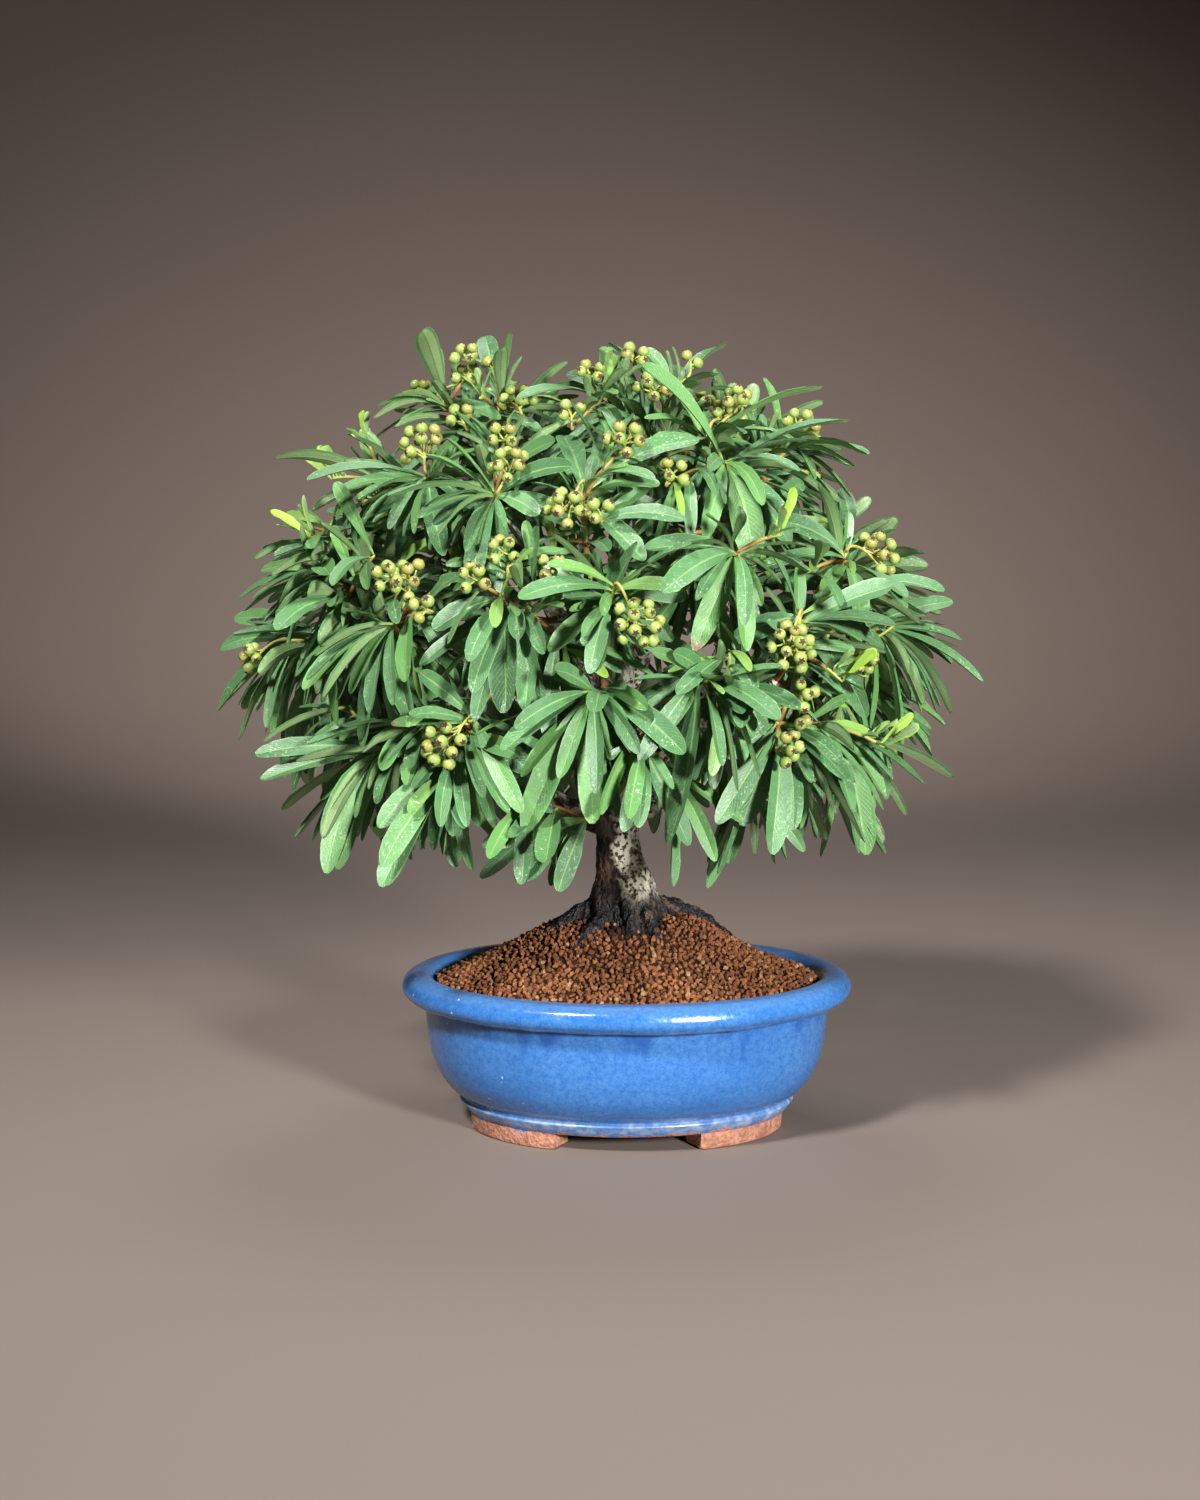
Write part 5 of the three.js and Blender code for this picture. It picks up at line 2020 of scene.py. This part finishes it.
@dataclass
class LeafBlank:
    """A flat leaf with a top and an underside, which geometry nodes bend into each leaf."""

    rows: tuple[float, ...] = (0, 0.07, 0.17, 0.32, 0.5, 0.67, 0.82, 0.92, 0.975, 1)
    columns: tuple[float, ...] = (-1, -0.5, 0, 0.5, 1)

    def broad(self, share: float) -> float:
        """How broad the blade is at a share of its length, with a full round tip."""
        if share < BROADEST:
            return float(blade_share(np.array(share)))
        return max(0.0, 1 - ((share - BROADEST) / 0.346) ** 3) ** 0.6

    def build(self) -> Piece:
        """Makes the blank as a closed mesh whose rim and fold are sharp.

        Returns:
            The blank.
        """
        number: dict[tuple[int, int, int], int] = {}
        facts = []
        last, width = len(self.rows) - 1, len(self.columns) - 1
        for top in (1, 0):
            for i, share in enumerate(self.rows):
                for j, side in enumerate(self.columns):
                    edge = i in (0, last) or j in (0, width)
                    if edge and not top:
                        number[0, i, j] = number[1, i, j]
                        continue
                    number[top, i, j] = len(facts)
                    facts.append((side, share, 0 if edge else top - 0.5, top, self.broad(share), edge))
        faces = []
        for i in range(last):
            for j in range(width):
                corners = (i, j), (i, j + 1), (i + 1, j + 1), (i + 1, j)
                faces += [[number[top, a, b] for a, b in corners[::way]] for top, way in ((1, 1), (0, -1))]
        rows = np.array(facts, float)
        side, along, _, top, broad, edge = rows.T
        skin = Skin()
        skin.add(rows[:, :3], faces, along=along, side=side, top=top, broad=broad, edge=edge)
        blank = skin.piece("leaf_blank")
        ends = [tuple(each.vertices) for each in blank.data.edges]
        sharp = [bool(edge[a] and edge[b] or side[a] == side[b] == 0) for a, b in ends]
        blank.data.attributes.new("sharp_edge", "BOOLEAN", "EDGE").data.foreach_set("value", sharp)
        return blank


@dataclass
class Foliage:
    """All the leaves, one piece for each spray, and the twigs that carry them."""

    crown: Crown
    thickness: float = 0.42
    stalk_thickness: float = 1.0
    twig_radius: float = 1.55
    shoot_radius: float = 1.2
    blank: LeafBlank = field(default_factory=LeafBlank)

    @staticmethod
    def tree() -> Tree:
        """Geometry nodes that bend one blank into each leaf, from what the leaf's point carries.

        Returns:
            The tree.
        """
        inputs = {"Blank": "Object", "Thickness": "Float", "Stalk": "Float", "Finish": "Material"}
        loom, given = geometry_tree("bend_leaves", **inputs)

        def read(name: str, kind: str = "FLOAT") -> Value:
            """What the point or the blank carries under a name."""
            return loom.out("GeometryNodeInputNamedAttribute", {"Name": name}, data_type=kind)

        blank = loom.out("GeometryNodeObjectInfo", {"Object": given["Blank"]}, "Geometry")
        placed = loom.out("GeometryNodeInstanceOnPoints", {"Points": given["Geometry"], "Instance": blank})
        start, knee, end, facing = (read(name, "FLOAT_VECTOR") for name in ("base", "knee", "tip", "facing"))
        share, across_share, top, broad = map(read, ("along", "side", "top", "broad"))
        back = 1 - share
        point = start * (back * back) + knee * (share * back * 2) + end * (share * share)
        along = loom.sum("NORMALIZE", (knee - start) * back + (end - knee) * share)
        flat = loom.sum("NORMALIZE", facing - along * loom.sum("DOT_PRODUCT", along, facing))
        flat_side = loom.sum("CROSS_PRODUCT", along, flat)
        twist = read("twist") * (share - 0.2)
        cosine, sine = loom.sum("COSINE", twist), loom.sum("SINE", twist)
        side, normal = flat_side * cosine + flat * sine, flat * cosine - flat_side * sine
        away = loom.sum("ABSOLUTE", across_share)
        fold = (1 - loom.sum("POWER", away, 1.4)) * broad * (read("fold") * -1)
        turns = share * 15 + (across_share * 0.9 + read("phase"))
        wave = loom.sum("SINE", turns) * (away * away) * broad * read("wave")
        thick = dict(enumerate((share, 0.08, 0.24, given["Stalk"], given["Thickness"])))
        inner = loom.sum("LESS_THAN", read("edge"), 0.5)
        shell = (top - 0.5) * (loom.out("ShaderNodeMapRange", thick) * inner)
        half = across_share * broad * (read("width") * 0.5)
        place = point + side * half + normal * (fold + wave + shell)
        return finish_tree(loom, placed, given["Finish"], place)

    def sites(self, spray: Spray) -> Piece:
        """A point for each leaf of a spray, with the leaf's own values.

        Args:
            spray: The spray.

        Returns:
            The points, as a piece of their own.
        """
        random = Seeded(300 + spray.tips[0].seed)
        marks: dict[str, list] = defaultdict(list)
        for leaf in spray.leaves:
            unshaded_share = self.outerness(leaf)
            facts = {
                "base": (leaf.rib.start - leaf.rib.along(0.0) * 0.5 + STAND) * MM,
                "knee": (leaf.rib.knee + STAND) * MM, "tip": (leaf.rib.end + STAND) * MM,
                "facing": leaf.facing, "width": 0.9 * leaf.width * MM, "young": leaf.young,
                # lot is a random tone plus painted shade: lower for leaves deep inside the crown, higher
                # outside.
                "lot": random() * 0.65 + 0.35 * unshaded_share - 0.3 * (1 - unshaded_share),
                "phase": random() * 6.3, "twist": (random() - 0.5) * 0.7,
                "fold": lerp(0.09, 0.25, random()) * leaf.width * MM, "wave": lerp(0.05, 0.4, random()) * MM,
            }
            for key, value in facts.items():
                marks[key].append(value)
        return linked(spray.name, mesh_of(spray.name, marks["base"], **marks))

    def outerness(self, leaf: Leaf) -> float:
        """How far out in the crown a leaf lies: 1 at its outside, 0 well inside; it sets the painted shade of
        leaves deep inside.
        """
        away = (leaf.rib.at(0.6) - self.crown.outline_middle) / self.crown.outline_reach
        return held((float(np.linalg.norm(away)) - 0.5) / 0.2)

    def twigs(self, finish: Material) -> None:
        """The twigs of all sprays, thicker where they leave the branch, with a bud at the end.

        Args:
            finish: The material that it wears.
        """
        skin = Skin()
        shares = np.linspace(0, 1, 13)
        young = np.clip((shares - 0.35) * 1.8, 0, 1)
        for spray in self.crown.sprays:
            thick = self.twig_radius if spray.node else self.shoot_radius
            for tip in spray.tips:
                sunk = tip.curve.start - tip.curve.along(0.0) * 2
                radii = (thick - 0.5 * thick * shares) * (1 + 0.12 * np.sin(shares * 40 + tip.seed))
                radii[-2:] = (0.6 * thick, 0.25 * thick)
                skin.tube(Bend(sunk, tip.curve.knee, tip.curve.end), radii, 7, young=young)
        present(skin.piece("twigs", finish), Slot.BARK)

    def build(self, finishes: Finishes) -> None:
        """Builds every spray's leaves and puts them in place of their node.

        Args:
            finishes: All the finishes.
        """
        blank, tree = self.blank.build(), self.tree()
        for spray in self.crown.sprays:
            leaves = grow(
                self.sites(spray), tree, Blank=blank, Thickness=self.thickness * MM,
                Stalk=self.stalk_thickness * MM, Finish=finishes.leaf,
            )
            present(leaves, Slot.LEAF, *([spray.node] if spray.node else []))
        forget(blank)
        self.twigs(finishes.twig)


@dataclass
class Fruit:
    """The berries, one piece for each bunch, and their stalks."""

    crown: Crown
    polar: tuple[float, ...] = (8, 17, 27, 42, 64, 88, 112, 136, 160)
    segments: int = 10
    smallest: float = 0.93
    largest: float = 1.12

    def berry(self) -> Piece:
        """One berry of radius 1 with its star at the top.

        Returns:
            The berry.
        """
        lobes = 0.5 + 0.5 * np.cos(5 * full_turn(self.segments))
        rings, stars = [], []
        for degrees in self.polar[::-1]:
            polar = math.radians(degrees)
            star = np.clip((20 + 12 * lobes - degrees) / 10 + 0.5, 0, 1)
            dimple = 0.13 * math.exp(-((degrees / 14) ** 2))
            radius = 1 - dimple + 0.05 * star * (degrees > 10) - 0.04 * (degrees > 150)
            rings.append(ring(radius * math.sin(polar), 0.93 * radius * math.cos(polar), self.segments))
            stars += [*star]
        skin = Skin()
        skin.loft(np.array(rings))
        return linked("berry_blank", mesh_of("berry_blank", skin.corners, skin.faces, star=[*stars, 0, 1]))

    @staticmethod
    def tree() -> Tree:
        """Geometry nodes that set a berry on each point, with its star turned away from the stalk.

        Returns:
            The tree.
        """
        loom, given = geometry_tree("set_berries", Berry="Object", Finish="Material")
        blank = loom.out("GeometryNodeObjectInfo", {"Object": given["Berry"]}, "Geometry")
        aim = loom.out("GeometryNodeInputNamedAttribute", {"Name": "aim"}, data_type="FLOAT_VECTOR")
        placed = loom.out("GeometryNodeInstanceOnPoints", {
            "Points": given["Geometry"], "Instance": blank,
            "Rotation": loom.out("FunctionNodeAlignRotationToVector", {"Vector": aim}, axis="Z"),
            "Scale": loom.out("GeometryNodeInputNamedAttribute", {"Name": "size"}),
        })
        return finish_tree(loom, placed, given["Finish"])

    def sites(self, name: str, bunches: Sequence[Bunch]) -> Piece:
        """A point for each berry of one or more bunches.

        Args:
            name: The piece's name.
            bunches: The bunches that it shows.

        Returns:
            The points, as a piece of their own.
        """
        random = Seeded(17 + sum(map(ord, name)))
        berries = [(bunch.root(), berry) for bunch in bunches for berry in bunch.berries]
        aims = [
            unit(berry - root) + 0.5 * vec(random() - 0.5, random() - 0.5, random() - 0.5)
            for root, berry in berries
        ]
        spans = (self.smallest * BERRY_RADIUS * MM, self.largest * BERRY_RADIUS * MM), (0, 1)
        sizes, lots = ([lerp(low, high, random()) for _ in berries] for low, high in spans)
        places = [(berry + STAND) * MM for _, berry in berries]
        return linked(name, mesh_of(name, places, aim=aims, size=sizes, lot=lots))

    def stalks(self, finish: Material) -> None:
        """The stalk of each bunch and the short stems of its berries.

        Args:
            finish: The material that it wears.
        """
        skin = Skin()
        for bunch in self.crown.bunches:
            skin.tube(bunch.stalk, np.linspace(0.75, 0.55, 9), 7, young=np.linspace(0.6, 1, 9))
            for i, berry in enumerate(bunch.berries):
                start = bunch.stalk.at(0.98 - 0.35 * (i % 4) / 4)
                out = unit(berry - bunch.root())
                knee = start + (berry - start) * 0.5 - out * 1.5 + bunch.stalk.along(1.0) * 1.5
                stem = Bend(start, knee, berry - out * BERRY_RADIUS * 0.6)
                skin.tube(stem, np.linspace(0.5, 0.38, 7), 6, young=1.0)
        present(skin.piece("berry_stalks", finish), Slot.BERRY)

    def build(self, finishes: Finishes) -> None:
        """Builds every bunch and puts it in place of its node.

        Args:
            finishes: All the finishes.
        """
        blank, tree = self.berry(), self.tree()
        groups: dict[str, list[Bunch]] = defaultdict(list)
        for bunch in self.crown.bunches:
            groups[bunch.name].append(bunch)
        for name, bunches in groups.items():
            berries = grow(self.sites(name, bunches), tree, Berry=blank, Finish=finishes.berry)
            smooth(berries)
            present(berries, Slot.BERRY, *(bunch.node for bunch in bunches if bunch.node))
        forget(blank)
        self.stalks(finishes.twig)


# Wood


@dataclass
class Wood:
    """Trunk, surface roots, limbs and branches, fused into one skin with rough bark."""

    crown: Crown
    # Height, place and radius of the trunk, from its foot up
    stations: tuple[tuple[float, float, float, float], ...] = (
        (62, 0, 0, 17), (78, 0, 0, 21), (91, 0, 0, 20), (98, -0.5, 0, 17), (104, -1, 0, 14.8),
        (111, -1.6, 0, 12.6), (120, -3.6, 0, 10.4), (129, -4.2, 0, 9.2), (139, -4.4, 0, 9.8),
        (152, -5, 0, 10.2), (170, -6, 0, 8), (190, -8, 0, 6),
    )
    # Roots, given as limbs are
    roots: tuple[tuple, ...] = (
        ((8, 5, 98), (34, 15, 98), (58, 17, 66), 4.6, 2.6),
        ((5, -12, 106), (10, -21, 97), (18, -27, 76), 2.6, 2),
        ((0, -12, 104), (2, -21, 98), (3, -26, 76), 2.6, 2),
        ((-8, -3, 99), (-30, -5, 97), (-52, -8, 64), 5, 2.8),
        ((-4, 10, 98), (-8, 30, 95), (-12, 44, 62), 4.6, 2.6),
        ((7, 10, 97), (26, 28, 91), (40, 36, 62), 4, 2.4),
        ((-6, -9, 97), (-20, -23, 93), (-32, -32, 64), 3.8, 2.4),
        ((6, 3, 72), (16, 8, 54), (38, 10, 36), 6, 2.5),
        ((-6, 3, 72), (-16, 8, 52), (-36, 12, 36), 6, 2.5),
    )
    voxel: float = 0.9
    sides: int = 40

    def pole(self, skin: Skin) -> None:
        """The trunk itself, fluted where it flares into the roots.

        Args:
            skin: The skin to add it to.
        """
        knots = np.array(self.stations, float)
        heights = np.linspace(knots[0, 0], knots[-1, 0], 66)[:, None]
        x, y, radius = (np.interp(heights, knots[:, 0], knots[:, i]) for i in (1, 2, 3))
        angles = full_turn(self.sides)
        rows = np.interp(heights, knots[:, 0], np.arange(len(knots)))
        flare = np.maximum(0, radius - 10) / 10
        lobes = 1 + 0.12 * flare * np.cos(5 * angles + 0.6) + 0.04 * np.cos(3 * angles + rows)
        flutes = 0.035 * flare * np.cos(13 * angles + 2 * np.sin(rows))
        reach = radius * (lobes + flutes)
        rings = np.stack([x + reach * np.cos(angles), y - reach * np.sin(angles), heights + 0 * reach], 2)
        skin.loft(rings[:, ::-1])

    def stems(self, skin: Skin) -> None:
        """Roots, limbs and branches as tapered tubes.

        Args:
            skin: The skin to add it to.
        """
        shares = np.linspace(0, 1, 22)
        for a, b, c, thick, thin in (*self.roots, *LIMBS):
            knobs = 1 + 0.06 * np.sin(shares * 25 + a[0]) + 0.05 * np.sin(shares * 61 + c[1])
            skin.tube(Bend(vec(*a), vec(*b), vec(*c)), (thick + (thin - thick) * shares) * knobs, 12)
        shares = np.linspace(0, 1, 12)
        for branch in (spray.branch for spray in self.crown.sprays if spray.branch):
            skin.tube(branch, (2.6 - 0.9 * shares) * (1 + 0.07 * np.sin(shares * 30)), 10)

    def bark(self, mesh: Mesh) -> None:
        """Raises the bark: plates on the trunk, long ridges on the roots.

        Args:
            mesh: The fused skin.
        """
        places, normals = np.empty((2, len(mesh.vertices) * 3), np.float32)
        mesh.vertices.foreach_get("co", places)
        mesh.vertices.foreach_get("normal", normals)
        rise = []
        for x, y, z in (places.reshape(-1, 3) / MM).tolist():
            thick = min(1.0, 0.25 + max(0.0, 150 - z) / 60)
            plate = noise.fractal((x * 0.22, y * 0.22, z * 0.13), 0.9, 2.1, 3)
            grit = noise.noise((x * 0.75, y * 0.75, z * 0.6))
            ridge = 1 - 2 * abs(noise.noise((x * 0.36, y * 0.36, z * 0.07 + 3)))
            rise.append(thick * (0.8 * plate + 0.55 * grit + held((112 - z) / 12) * 0.6 * ridge))
        places += normals * np.repeat(np.array(rise) * MM, 3)
        mesh.vertices.foreach_set("co", places)
        mesh.update()

    def build(self, finish: Material) -> None:
        """Builds the wood as one skin and puts it in place of its node.

        Args:
            finish: The material that it wears.
        """
        skin = Skin()
        self.pole(skin)
        self.stems(skin)
        wood = skin.piece("wood", finish)
        remesh = wood.modifiers.new("fuse", "REMESH")
        remesh.mode, remesh.voxel_size, remesh.use_smooth_shade = "VOXEL", self.voxel * MM, True
        soften = wood.modifiers.new("soften", "SMOOTH")
        soften.factor, soften.iterations = 0.5, 3
        settle(wood)
        wood.data.materials.clear()
        wood.data.materials.append(finish)
        self.bark(wood.data)
        present(wood, Slot.BARK, "trunk")


# Studio


@dataclass
class Studio:
    """Floor, lights and camera at the photograph's view, all in metres."""

    camera_place: Place = (0.0022, -0.992, 0.2774)
    pitch: float = 6.28
    lens: float = 54.22
    floor_radius: float = 1.5
    curve_radius: float = 1.2
    floor_sides: int = 96
    beam: float = 75
    sky: Colour = (1, 0.96, 0.93)
    sky_strength: float = 0.045
    # Each lamp's name, place, aim, size, power and colour
    lamps: tuple[tuple, ...] = (
        ("right_key", (0.92, -1.6, 0.6), (0, 0, 0.17), 0.26, 11.5, (1, 0.98, 0.95)),
        ("left_key", (-0.68, -1.2, 1.5), (0, 0, 0.17), 0.26, 8.5, (1, 0.98, 0.95)),
        ("top", (0.0, 0.7, 1.9), (0, 0, 0.17), 0.8, 2.2, (1, 1, 1)),
        ("backdrop", (0.0, 0.6, 1.3), (0, 2.05, 0.1), 0.5, 6.6, (1, 0.93, 0.88)),
    )

    def floor(self, finish: Material) -> None:
        """A round floor that curves up all round, so that every view has a plain ground.

        Args:
            finish: The material that it wears.
        """
        near, curve, sides = self.floor_radius, self.curve_radius, self.floor_sides
        rows = [(0.02, 0.0), (0.5, 0.0), (1.0, 0.0), (near, 0.0)]
        rows += [(near + curve * math.sin(a), curve * (1 - math.cos(a))) for a in np.linspace(0.15, 1.57, 12)]
        rows += [(near + curve, 1.8), (near + curve, 2.6)]
        corners = np.vstack([ring(r, z, sides) for r, z in rows])
        faces = [*strips(len(rows), sides), range(sides)]
        floor = linked("studio_floor", mesh_of("studio_floor", corners, faces))
        smooth(floor)
        floor.data.materials.append(finish)

    def light(self) -> None:
        """Soft area lights and a dim even sky."""
        for name, place, aim, size, power, colour in self.lamps:
            lamp = bpy.data.lights.new(name, "AREA")
            lamp.shape, lamp.size, lamp.energy, lamp.color = "DISK", size, power, colour
            lamp.spread = math.radians(self.beam)
            made = linked(name, lamp)
            made.location = place
            made.rotation_euler = (Vector(aim) - Vector(place)).to_track_quat("-Z", "Y").to_euler()
        world = bpy.data.worlds.new("sky")
        world.use_nodes = True
        sky = world.node_tree.nodes["Background"].inputs
        sky["Color"].default_value = (*self.sky, 1)
        sky["Strength"].default_value = self.sky_strength
        bpy.context.scene.world = world
        bpy.context.scene.view_settings.view_transform = "Standard"

    def camera(self) -> None:
        """The camera of the photograph, with no depth of field."""
        lens = bpy.data.cameras.new("camera")
        lens.lens, lens.sensor_width, lens.clip_end = self.lens, 36, 50
        made = linked("camera", lens)
        made.location = self.camera_place
        made.rotation_euler = (math.radians(90 - self.pitch), 0, 0)
        bpy.context.scene.camera = made

    def build(self, finish: Material) -> None:
        """Sets up the studio."""
        self.camera()
        self.floor(finish)
        self.light()


def main() -> None:
    """Builds the bonsai in order."""
    logging.basicConfig(level=logging.INFO, format="%(message)s")
    finishes = Finishes()
    Studio().build(finishes.floor)
    pot = GlazedPot()
    pot.build(finishes.glaze)
    DrainNets().dress(finishes.net)
    SoilBed().build(pot, finishes)
    crown = Crown()
    Wood(crown).build(finishes.bark)
    Foliage(crown).build(finishes)
    Fruit(crown).build(finishes)
    log.info("sizes written")


if __name__ == "__main__":
    main()
